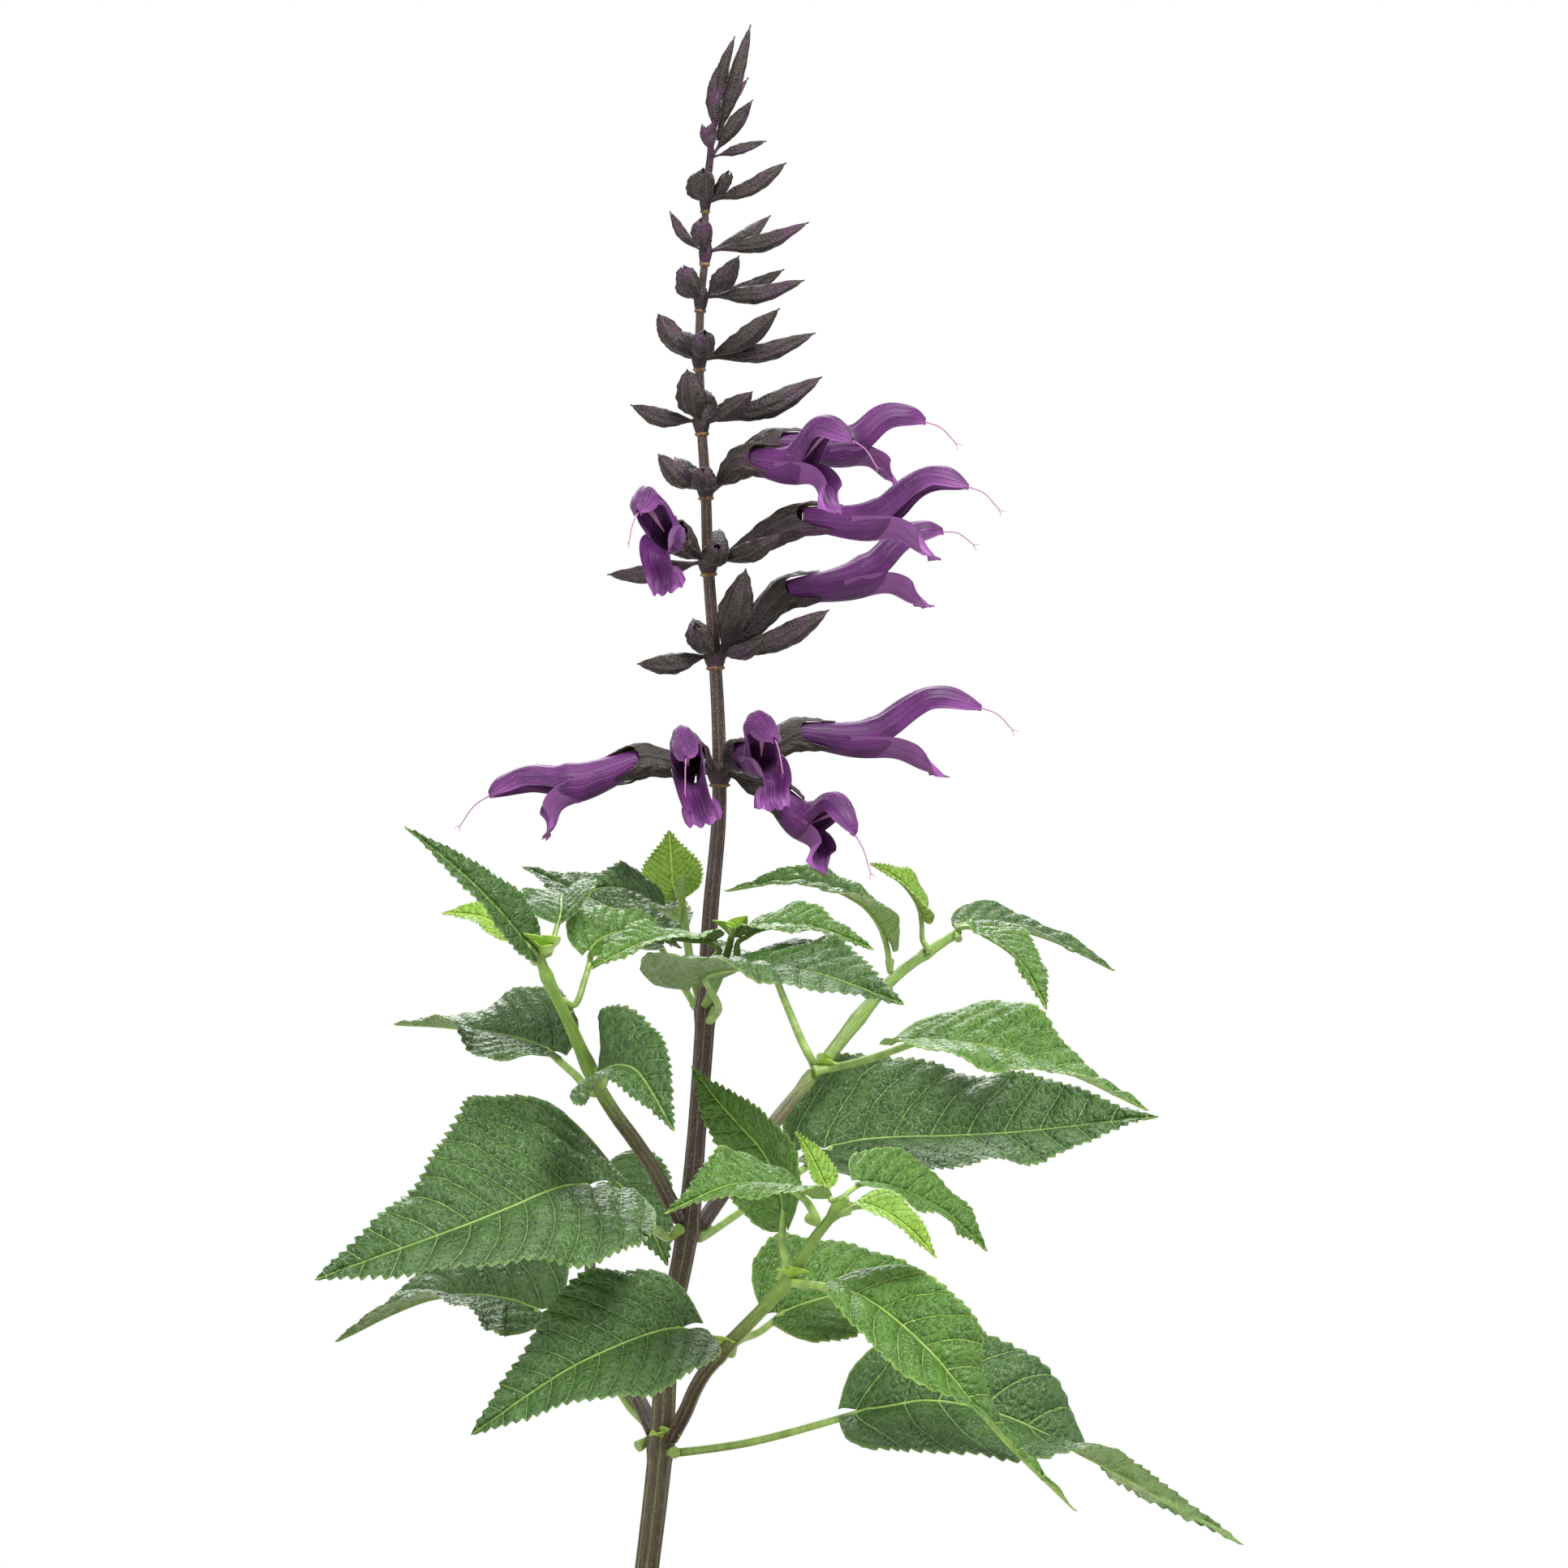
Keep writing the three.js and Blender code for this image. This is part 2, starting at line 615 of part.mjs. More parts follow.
// Each leaf: what it grows on, its route from stalk to tip, which point ends the stalk, its width and facing.
const LEAVES = {
  leaf_low_right: {
    on: "main_stem",
    path: [
      [8, -1, 175], [12, -8, 173], [32, -24, 180], [54, -38, 187],
      [72, -43, 189], [96, -40, 179], [113, -37, 169], [134, -33, 157],
    ],
    bladeFrom: 3, width: 33, facing: [0.1, -0.8, 0.6], fold: 0.16,
  },
  leaf_low_left: {
    on: "main_stem",
    path: [[6, 1, 175], [1, 6, 177], [-2, 20, 186], [-24, 44, 203], [-44, 46, 205], [-68, 42, 195]],
    bladeFrom: 3, width: 36, facing: [-0.1, -0.5, 0.85], fold: 0.16,
  },
  leaf_mid_left: {
    on: "main_stem",
    path: [
      [11, -2, 223], [8, -6, 221], [2, -16, 228],
      [-10, -30, 235], [-32, -46, 228], [-66, -54, 216],
    ],
    bladeFrom: 3, width: 48, facing: [-0.05, -0.72, 0.7], fold: 0.1,
  },
  leaf_mid_right: {
    on: "main_stem",
    path: [[16, 2, 222], [20, 8, 222], [30, 26, 231], [48, 44, 240], [84, 50, 242], [120, 46, 246]],
    bladeFrom: 3, width: 42, facing: [0.1, -0.55, 0.82], fold: 0.14,
  },
  leaf_low_left_tip: {
    on: "branch_low_left",
    path: [[-10, 46, 212], [-9, 51, 226], [-5, 50, 231], [2, 46, 224], [8, 43, 212]],
    bladeFrom: 2, width: 20, facing: [0.4, -0.7, 0.4], fold: 0.12,
  },
  leaf_branch1_front: {
    on: "branch_low_right",
    path: [[21, -22, 198], [17, -27, 201], [11, -33, 204], [-10, -42, 197], [-33, -46, 182]],
    bladeFrom: 2, width: 34, facing: [-0.1, -0.82, 0.55], fold: 0.14,
  },
  leaf_branch1_back: {
    on: "branch_low_right",
    path: [[21, -22, 198], [28, -16, 201], [35, -9, 206], [55, 2, 209], [70, 6, 200]],
    bladeFrom: 2, width: 30, facing: [0, -0.7, 0.7], fold: 0.14,
  },
  leaf_branch1_right: {
    on: "branch_low_right",
    path: [
      [36, -37, 214], [42, -46, 214], [52, -55, 212],
      [66, -64, 201], [80, -63, 184], [97, -58, 167],
    ],
    bladeFrom: 2, width: 23, facing: [0.2, -0.75, 0.65], fold: 0.18,
  },
  leaf_branch1_left: {
    on: "branch_low_right",
    path: [
      [35, -36, 214], [34, -32, 221], [34, -28, 230],
      [30, -24, 241], [21, -20, 251], [14, -17, 260],
    ],
    bladeFrom: 2, width: 20, facing: [-0.75, -0.5, 0.4], fold: 0.16,
  },
  leaf_branch1_top_left: {
    on: "branch_low_right",
    path: [[42, -43, 225], [40, -47, 231], [37, -52, 235], [24, -62, 237], [9, -66, 231]],
    bladeFrom: 2, width: 22, facing: [0, -0.5, 0.86], fold: 0.14,
  },
  leaf_tip1_up: {
    on: "branch_low_right",
    path: [[46, -46, 230], [44, -44, 234], [43, -43, 236], [40, -41, 242], [37, -40, 247]],
    bladeFrom: 2, width: 7, facing: [0.5, -0.6, 0.5], fold: 0.2, petiole: 0.6,
  },
  leaf_tip1_right: {
    on: "branch_low_right",
    path: [[46, -46, 230], [50, -42, 235], [53, -39, 236], [68, -28, 230], [79, -24, 220]],
    bladeFrom: 2, width: 17, facing: [0.3, -0.55, 0.78], fold: 0.18, petiole: 0.6,
  },
  leaf_tip1_front: {
    on: "branch_low_right",
    path: [[46, -46, 229], [49, -51, 231], [52, -53, 232], [60, -58, 228], [67, -60, 221]],
    bladeFrom: 2, width: 10, facing: [0.2, -0.5, 0.84], fold: 0.2, petiole: 0.6,
  },
  leaf_branch2_right: {
    on: "branch_mid_right",
    path: [[42, 34, 257], [48, 25, 258], [55, 17, 261], [65, 8, 265], [88, -2, 262], [115, -6, 250]],
    bladeFrom: 3, width: 30, facing: [0.05, -0.45, 0.9], fold: 0.12,
  },
  leaf_branch2_back: {
    on: "branch_mid_right",
    path: [[42, 34, 257], [38, 42, 264], [34, 50, 274], [32, 58, 279], [30, 78, 281], [28, 94, 276]],
    bladeFrom: 3, width: 26, facing: [0, -0.3, 1], fold: 0.14,
  },
  leaf_branch2_top_left: {
    on: "branch_mid_right",
    path: [[59, 48, 277], [58, 46, 284], [57, 45, 289], [52, 41, 295], [39, 34, 300], [21, 26, 298]],
    bladeFrom: 2, width: 18, facing: [0.1, -0.28, 0.95], fold: 0.14, petiole: 0.7,
  },
  leaf_branch2_top_right: {
    on: "branch_mid_right",
    path: [[59, 48, 277], [68, 54, 283], [78, 60, 290], [94, 63, 287], [111, 63, 279]],
    bladeFrom: 2, width: 14, facing: [0.1, -0.2, 0.97], fold: 0.14, petiole: 0.7,
  },
  leaf_tip2_up: {
    on: "branch_mid_right",
    path: [[67, 53, 283], [66, 50, 289], [66, 48, 293], [62, 42, 299], [54, 36, 304]],
    bladeFrom: 2, width: 11, facing: [0.5, -0.5, 0.7], fold: 0.18, petiole: 0.6,
  },
  leaf_tip2_right: {
    on: "branch_mid_right",
    path: [[73, 57, 287], [77, 51, 289], [80, 47, 288], [88, 38, 282], [94, 30, 271]],
    bladeFrom: 2, width: 15, facing: [0.6, -0.6, 0.5], fold: 0.16, petiole: 0.6,
  },
  leaf_branch3_right: {
    on: "branch_mid_left",
    path: [[-5, -26, 254], [-5, -31, 257], [-5, -37, 260], [2, -47, 261], [11, -58, 248]],
    bladeFrom: 2, width: 22, facing: [0.1, -0.88, 0.45], fold: 0.2,
  },
  leaf_branch3_left: {
    on: "branch_mid_left",
    path: [[-5, -26, 254], [-11, -20, 258], [-18, -13, 264], [-35, -6, 268], [-52, -2, 269]],
    bladeFrom: 2, width: 26, facing: [0, -0.42, 0.9], fold: 0.14,
  },
  leaf_branch3_top_left: {
    on: "branch_mid_left",
    path: [[-13, -36, 272], [-17, -42, 281], [-21, -48, 288], [-31, -57, 300], [-46, -64, 313]],
    bladeFrom: 2, width: 11, facing: [0.45, -0.7, 0.55], fold: 0.16, petiole: 0.7,
  },
  leaf_branch3_top_right: {
    on: "branch_mid_left",
    path: [[-13, -36, 272], [-9, -33, 279], [-7, -29, 287], [2, -19, 290], [12, -11, 286]],
    bladeFrom: 2, width: 17, facing: [0.1, -0.5, 0.85], fold: 0.16, petiole: 0.7,
  },
  leaf_tip3_left: {
    on: "branch_mid_left",
    path: [[-18, -43, 283], [-22, -39, 287], [-24, -37, 289], [-31, -34, 293], [-40, -32, 294]],
    bladeFrom: 2, width: 11, facing: [0, -0.5, 0.86], fold: 0.2, petiole: 0.6,
  },
  leaf_tip3_right: {
    on: "branch_mid_left",
    path: [[-18, -43, 283], [-15, -39, 290], [-14, -36, 294], [-14, -22, 298], [-12, -8, 296]],
    bladeFrom: 2, width: 16, facing: [-0.2, -0.5, 0.85], fold: 0.16, petiole: 0.6,
  },
  leaf_high_back: {
    on: "main_stem",
    path: [[16, 2, 271], [13, 8, 274], [9, 18, 282], [5, 26, 288], [-10, 46, 296], [-26, 60, 303]],
    bladeFrom: 3, width: 24, facing: [-0.1, -0.4, 0.9], fold: 0.14, petiole: 0.8,
  },
  leaf_high_front: {
    on: "main_stem",
    path: [[18, -3, 270], [20, -10, 272], [17, -21, 280], [38, -40, 282], [60, -56, 275]],
    bladeFrom: 2, width: 34, facing: [0, -0.22, 1], fold: 0.1, petiole: 0.8,
  },
  leaf_shoot_left: {
    on: "shoot_high_back",
    path: [[12, 14, 291], [9, 11, 293], [6, 8, 295], [-2, 2, 299], [-12, -3, 298]],
    bladeFrom: 2, width: 15, facing: [0.1, -0.6, 0.8], fold: 0.16, petiole: 0.6,
  },
  leaf_shoot_up: {
    on: "shoot_high_back",
    path: [[11, 18, 297], [10, 20.5, 298.3], [9.5, 21.5, 298.8], [9, 22.3, 305], [8.5, 22, 311.5]],
    bladeFrom: 2, width: 13.5, facing: [0, -1, 0.15], fold: 0.16, petiole: 0.5,
  },
  leaf_shoot_front_left: {
    on: "shoot_high_front",
    path: [[21, -12, 284], [18, -15, 287], [15, -18, 288], [5, -33, 288], [-8, -44, 282]],
    bladeFrom: 2, width: 15, facing: [0, -0.35, 0.93], fold: 0.14, petiole: 0.6,
  },
  leaf_shoot_front_right: {
    on: "shoot_high_front",
    path: [[22, -13, 285], [26, -14, 288], [28, -15, 290], [40, -22, 291], [54, -26, 286]],
    bladeFrom: 2, width: 15, facing: [0, -0.45, 0.89], fold: 0.14, petiole: 0.6,
  },
};

const YOUNG = /tip|shoot/;

// ---- Assembly ----
function mesh(name, geometry, colour) {
  const [color, roughness] = COLOURS[colour];
  const made = new THREE.Mesh(geometry, new THREE.MeshStandardMaterial({ color, roughness, metalness: 0 }));
  made.name = name;
  return made;
}

const plant = new THREE.Group();
plant.name = "potted_salvia";
plant.add(mesh("pot", potGeometry(), "clay"));
plant.add(mesh("soil", soilGeometry(), "soil"));
plant.add(mesh("main_stem", mainStemGeometry(), "stem"));

const grown = { main_stem: mainStem };
for (const [name, { path, radii, nodes, bud }] of Object.entries(BRANCHES)) {
  grown[name] = branch(mainStem, path, ...radii, nodes, bud);
  plant.add(mesh(name, grown[name].geometry, "green"));
}
for (const [name, leaf] of Object.entries(LEAVES)) {
  plant.add(mesh(name, leafGeometry(grown[leaf.on], leaf), YOUNG.test(name) ? "young" : "leaf"));
}
for (const [name, flower] of Object.entries(FLOWERS)) {
  plant.add(mesh(name, corollaGeometry(flower), "petal"));
}
for (const [name, { z, closed, open = [] }] of Object.entries(WHORLS)) {
  const flowers = open.map((flower) => FLOWERS[flower]);
  plant.add(mesh(name, whorlGeometry({ z, closed, open: flowers }), "calyx"));
}
plant.add(mesh("tip_buds", tipBudsGeometry(), "calyx"));

export default plant;
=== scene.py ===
"""Potted salvia: the visual model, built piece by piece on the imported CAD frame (metres, +Z up)."""

import math

import bmesh
import bpy
import numpy as np
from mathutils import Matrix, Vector


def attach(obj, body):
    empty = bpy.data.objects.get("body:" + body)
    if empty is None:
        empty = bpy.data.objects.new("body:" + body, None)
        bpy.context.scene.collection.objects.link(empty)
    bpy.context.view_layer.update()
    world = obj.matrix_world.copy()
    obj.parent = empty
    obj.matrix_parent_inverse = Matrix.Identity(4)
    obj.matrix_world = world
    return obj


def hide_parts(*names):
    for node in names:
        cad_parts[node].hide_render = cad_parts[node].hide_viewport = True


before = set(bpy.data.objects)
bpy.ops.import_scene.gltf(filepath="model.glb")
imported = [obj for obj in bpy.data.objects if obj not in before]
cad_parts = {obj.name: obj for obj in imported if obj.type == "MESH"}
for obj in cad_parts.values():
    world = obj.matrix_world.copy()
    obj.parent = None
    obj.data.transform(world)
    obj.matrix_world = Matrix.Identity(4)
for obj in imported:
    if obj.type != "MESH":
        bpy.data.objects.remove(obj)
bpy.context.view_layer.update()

# ---- Sizes, in metres ----
MM = 0.001
VIEW_CENTRE = (34.4 * MM, 0.0, 321.9 * MM)
VIEW_HEIGHT = 347.8 * MM
VIEW_DISTANCE = 1.5
SENSOR_WIDTH = 36  # millimetres, as Blender wants it
UP = np.array([0.0, 0.0, 1.0])

# Where along a CAD blade its sections lie, from the end of the stalk to the tip.
BLADE_STATIONS = [0.0, 0.03, 0.15, 0.35, 0.56, 0.76, 0.92, 1.0]
OUTLINE_AT = [0, 0.012, 0.04, 0.1, 0.19, 0.3, 0.44, 0.6, 0.75, 0.87, 0.95, 1]
SIDE_VEINS = 9.0
TOOTH_SHARE = 0.03
STALK_TONE = 0.9
OUTLINE = [0.06, 0.4, 0.7, 0.91, 1.0, 0.985, 0.87, 0.64, 0.385, 0.185, 0.075, 0.0]


# ---- Small maths ----
def unit(v):
    v = np.asarray(v, float)
    return v / np.maximum(np.linalg.norm(v, axis=-1, keepdims=True), 1e-12)


def hermite(at, values, where):
    """A smooth curve through values at the places `at`, read at `where`."""
    at, values, where = np.asarray(at, float), np.asarray(values, float), np.asarray(where, float)
    flat = values.reshape(len(at), -1)
    slope = np.empty_like(flat)
    step = np.diff(at)[:, None]
    chord = np.diff(flat, axis=0) / step
    slope[0], slope[-1] = chord[0], chord[-1]
    slope[1:-1] = (chord[:-1] * step[1:] + chord[1:] * step[:-1]) / (step[1:] + step[:-1])
    k = np.clip(np.searchsorted(at, where, side="right") - 1, 0, len(at) - 2)
    h = (at[k + 1] - at[k])[:, None]
    t = (where - at[k])[:, None] / h
    a, b, m, n = flat[k], flat[k + 1], slope[k] * h, slope[k + 1] * h
    out = (
        (2 * t**3 - 3 * t**2 + 1) * a
        + (t**3 - 2 * t**2 + t) * m
        + (-2 * t**3 + 3 * t**2) * b
        + (t**3 - t**2) * n
    )
    return out.reshape((len(where),) + values.shape[1:])


def lengths_along(points):
    steps = np.linalg.norm(np.diff(points, axis=0), axis=1)
    return np.concatenate([[0], np.cumsum(steps)])


def resampled(points, count):
    """Points evenly spaced along a smooth curve through the given ones."""
    at = lengths_along(points)
    return hermite(at, points, np.linspace(0, at[-1], count))


def smoothstep(low, high, x):
    t = np.clip((x - low) / (high - low), 0, 1)
    return t * t * (3 - 2 * t)


def smoothed(values):
    """Values evened out along their length, with the two ends kept."""
    for _ in range(3):
        values[1:-1] = (values[:-2] + values[1:-1] * 2 + values[2:]) / 4
    return values


def laid(centre, side, wide, rise, high):
    """Points moved off a centre by `wide` along `side` and by `high` along `rise`."""
    return centre + side * wide[..., None] + rise * high[..., None]


def across_frames(path, start):
    """Tangent and two cross directions along a path, carried without twist from a start direction."""
    tangent = unit(np.gradient(path, axis=0))
    side = np.empty_like(path)
    last = np.asarray(start, float)
    for i, t in enumerate(tangent):
        last = unit(last - np.dot(last, t) * t)
        side[i] = last
    return tangent, side, np.cross(tangent, side)


# ---- Reading the CAD nodes ----
def merged(node):
    """A node's corner points, and each point's neighbours along the triangles' edges."""
    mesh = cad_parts[node].data
    co = np.zeros(len(mesh.vertices) * 3)
    mesh.vertices.foreach_get("co", co)
    mesh.calc_loop_triangles()
    tri = np.zeros(len(mesh.loop_triangles) * 3, int)
    mesh.loop_triangles.foreach_get("vertices", tri)
    keys, first, inverse = np.unique(
        np.round(co.reshape(-1, 3), 6), axis=0, return_index=True, return_inverse=True
    )
    tri = inverse.reshape(-1)[tri].reshape(-1, 3)
    points = co.reshape(-1, 3)[first]
    near = [set() for _ in points]
    for a, b, c in tri:
        if a != b and b != c and a != c:
            near[a] |= {b, c}
            near[b] |= {a, c}
            near[c] |= {a, b}
    return points, near


def ring_round(points, near, members):
    """The members of one ring in order round it."""
    members = set(members)
    start = min(members)
    order = [start]
    while len(order) < len(members):
        choices = [n for n in near[order[-1]] if n in members and n not in order]
        if not choices:
            break
        order.append(min(choices, key=lambda n: np.linalg.norm(points[n] - points[order[-1]])))
    return order


def rings_from(points, near, pole, most=99):
    """The rings of a lofted skin, walked outwards from the point at one end."""
    seen, level, rings = {pole}, {pole}, []
    while len(rings) < most:
        level = {n for v in level for n in near[v]} - seen
        if not level:
            break
        seen |= level
        rings.append(ring_round(points, near, level))
    return rings


def lofted(node, sides=8):
    """The rings of a CAD loft from its flat-ended foot to its pointed end, and the two end points."""
    points, near = merged(node)
    poles = [i for i, n in enumerate(near) if len(n) == sides]

    def lift(pole):
        return np.linalg.norm(points[list(near[pole])].mean(0) - points[pole])

    poles = sorted(poles, key=lift)
    foot = poles[0]
    rings = [r for r in rings_from(points, near, foot) if len(r) == sides]
    tip = max(poles[1:], key=lambda i: np.linalg.norm(points[i] - points[foot]))
    return [points[r] for r in rings], points[foot], points[tip]


# ---- Mesh making ----
class Shape:
    """Collects surfaces into one mesh with named point attributes and material slots."""

    def __init__(self, attributes=()):
        self.points, self.faces, self.slots = [], [], []
        self.count = 0
        self.attributes = {name: [] for name in attributes}

    def add(self, points, faces, slot=0, **values):
        points = np.asarray(points, float).reshape(-1, 3)
        self.points.append(points)
        self.faces += (np.asarray(faces) + self.count).tolist()
        self.slots += [slot] * len(faces)
        self.count += len(points)
        for name, held in self.attributes.items():
            value = np.asarray(values.get(name, 0.0), float)
            held.append(np.broadcast_to(value.reshape(-1) if value.ndim else value, (len(points),)))

    def grid(self, surface, slot=0, wrap=False, flip=False, **values):
        rows, columns = surface.shape[:2]
        i, j = np.meshgrid(np.arange(rows - 1), np.arange(columns if wrap else columns - 1), indexing="ij")
        a = i * columns + j
        b = i * columns + (j + 1) % columns
        quads = np.stack([a, b, b + columns, a + columns], -1).reshape(-1, 4)
        self.add(surface, quads[:, ::-1] if flip else quads, slot, **values)

    def sheet(self, surface, thickness, slot=0, wrap=False, **values):
        """A grid with a second face below it and a closed rim."""
        below = surface - grid_normals(surface, wrap) * np.reshape(thickness, np.shape(thickness) + (1,))
        self.grid(surface, slot, wrap, **values)
        self.grid(below, slot, wrap, flip=True, **{**values, "under": 1.0})
        rows, columns = surface.shape[:2]
        flat = {k: np.asarray(v).reshape(rows, columns) if np.size(v) > 1 else v for k, v in values.items()}
        sides = [(slice(None), 0), (slice(None), -1)] if not wrap else []
        sides += [(0, slice(None)), (-1, slice(None))]
        for k, side in enumerate(sides):
            strip = np.stack([surface[side], below[side]], 1)
            held = {n: np.repeat(v[side], 2) if np.size(v) > 1 else v for n, v in flat.items()}
            self.grid(strip, slot, flip=k % 2 == 0, **held)

    def cap(self, ring, hub, flip, slot=0, **values):
        """A fan of triangles that closes a ring."""
        turn = np.arange(len(ring))
        fan = np.stack([turn, (turn + 1) % len(ring), np.full(len(ring), len(ring))], 1)
        self.add(np.concatenate([ring, [hub]]), fan[:, ::-1] if flip else fan, slot, **values)

    def tube(self, path, radii, sides=10, slot=0, start=(0.31, 0.52, 0.79), section=None, **values):
        _, side, other = across_frames(path, start)
        angle = np.linspace(0, 2 * np.pi, sides, endpoint=False)
        reach = np.ones(sides) if section is None else section(angle)
        radii = np.broadcast_to(radii, (len(path),))
        ring = np.cos(angle)[None, :, None] * side[:, None] + np.sin(angle)[None, :, None] * other[:, None]
        surface = path[:, None] + ring * (radii[:, None, None] * reach[None, :, None])
        wide = {k: np.repeat(v, sides) if np.size(v) > 1 else v for k, v in values.items()}
        self.grid(surface, slot, wrap=True, **wide)
        for end in (0, -1):
            held = {k: np.ravel(v)[end] for k, v in values.items()}
            self.cap(surface[end], path[end], end == 0, slot, **held)
        return surface

    def build(self, name, materials, node, smooth=True):
        """The finished piece, standing in for one CAD node."""
        mesh = bpy.data.meshes.new(name)
        mesh.from_pydata(np.concatenate(self.points).tolist(), [], self.faces)
        for material in materials:
            mesh.materials.append(material)
        mesh.polygons.foreach_set("material_index", self.slots)
        mesh.polygons.foreach_set("use_smooth", [smooth] * len(self.faces))
        for key, values in self.attributes.items():
            layer = mesh.attributes.new(key, "FLOAT", "POINT")
            layer.data.foreach_set("value", np.concatenate(values).astype(np.float32))
        mesh.update()
        piece = bpy.data.objects.new(name, mesh)
        bpy.context.scene.collection.objects.link(piece)
        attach(piece, "root")
        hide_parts(node)
        return piece


def grid_normals(surface, wrap=False):
    du = np.gradient(surface, axis=0)
    if wrap:
        dv = (np.roll(surface, -1, axis=1) - np.roll(surface, 1, axis=1)) / 2
    else:
        dv = np.gradient(surface, axis=1)
    return unit(np.cross(dv, du))


def hairs(shape, roots, ways, length, width, rng, slot=0, **values):
    """Short stiff hairs, each a thin three-sided spike."""
    ways = unit(ways + rng.normal(0, 0.35, ways.shape))
    side = unit(np.cross(ways, UP + rng.normal(0, 0.2, ways.shape)))
    other = np.cross(ways, side)
    reach = (length * rng.uniform(0.55, 1.25, len(roots)))[:, None]
    feet = [roots + width * (math.cos(a) * side + math.sin(a) * other) for a in (0, 2.09, 4.19)]
    tips = roots + ways * reach
    points = np.stack([*feet, tips], 1).reshape(-1, 3)
    k = np.arange(len(roots))[:, None] * 4
    faces = np.concatenate([k + np.array(f) for f in ([0, 1, 3], [1, 2, 3], [2, 0, 3])])
    shape.add(points, faces, slot, **values)


# ---- Materials ----
class Nodes:
    """A short way to wire shader nodes."""

    def __init__(self, name):
        self.material = bpy.data.materials.new(name)
        self.material.use_nodes = True
        self.tree = self.material.node_tree
        self.shader = self.tree.nodes["Principled BSDF"]

    def put(self, socket, value):
        if isinstance(value, bpy.types.NodeSocket):
            self.tree.links.new(value, socket)
        elif isinstance(value, tuple) and len(value) == 3 and socket.type == "RGBA":
            socket.default_value = (*value, 1)
        else:
            socket.default_value = value

    def node(self, kind, inputs=None, **settings):
        made = self.tree.nodes.new("ShaderNode" + kind)
        for key, value in settings.items():
            setattr(made, key, value)
        for key, value in (inputs or {}).items():
            self.put(made.inputs[key], value)
        return made

    def value(self, name):
        return self.node("Attribute", attribute_name=name).outputs["Fac"]

    def place(self):
        return self.node("TexCoord").outputs["Object"]

    def join(self, x, y, z=0.0):
        return self.node("CombineXYZ", {0: x, 1: y, 2: z}).outputs[0]

    def sum(self, operation, a, b):
        return self.node("Math", {0: a, 1: b}, operation=operation).outputs[0]

    def times(self, a, b):
        return self.sum("MULTIPLY", a, b)

    def plus(self, a, b):
        return self.sum("ADD", a, b)

    def swing(self, x, amount):
        """x, which runs from 0 to 1, made to run over `amount` with 0 in the middle."""
        return self.times(self.sum("SUBTRACT", x, 0.5), amount)

    def ease(self, x, low, high, start=0.0, end=1.0):
        node = self.node("MapRange", interpolation_type="SMOOTHSTEP")
        for key, value in zip(("Value", "From Min", "From Max", "To Min", "To Max"), (x, low, high, start, end)):
            self.put(node.inputs[key], value)
        return node.outputs[0]

    def line(self, x, low, high, most=1.0):
        """A mask that is full where x is low and gone where it is high."""
        return self.ease(x, low, high, most, 0.0)

    def mix(self, share, a, b):
        node = self.node("Mix", data_type="RGBA")
        for key, value in ((0, share), (6, a), (7, b)):
            self.put(node.inputs[key], value)
        return node.outputs[2]

    def between(self, x, a, b, low=0.3, high=0.7):
        return self.mix(self.ease(x, low, high), a, b)

    def tint(self, base, share, mask, extra):
        """The base colour with a share of another colour on it, where the mask is."""
        return self.mix(self.times(mask, share), base, extra)

    def noise(self, where, scale, detail=3.0, rough=0.55):
        made = self.node("TexNoise", {"Vector": where, "Scale": scale, "Detail": detail, "Roughness": rough})
        return made.outputs["Fac"]

    def stretched(self, where, scale):
        return self.node("Mapping", {"Vector": where, "Scale": (1.0, 1.0, scale)}).outputs[0]

    def cells(self, where, scale):
        made = self.node("TexVoronoi", {"Vector": where, "Scale": scale}, feature="DISTANCE_TO_EDGE")
        return made.outputs["Distance"]

    def bump(self, height, distance, strength):
        return self.node("Bump", {"Height": height, "Distance": distance, "Strength": strength}).outputs[0]

    def finish(self, colour, roughness, normal=None, **constants):
        self.put(self.shader.inputs["Base Color"], colour)
        self.put(self.shader.inputs["Roughness"], roughness)
        if normal is not None:
            self.put(self.shader.inputs["Normal"], normal)
        for key, value in constants.items():
            self.shader.inputs[key.replace("_", " ")].default_value = value
        return self.material


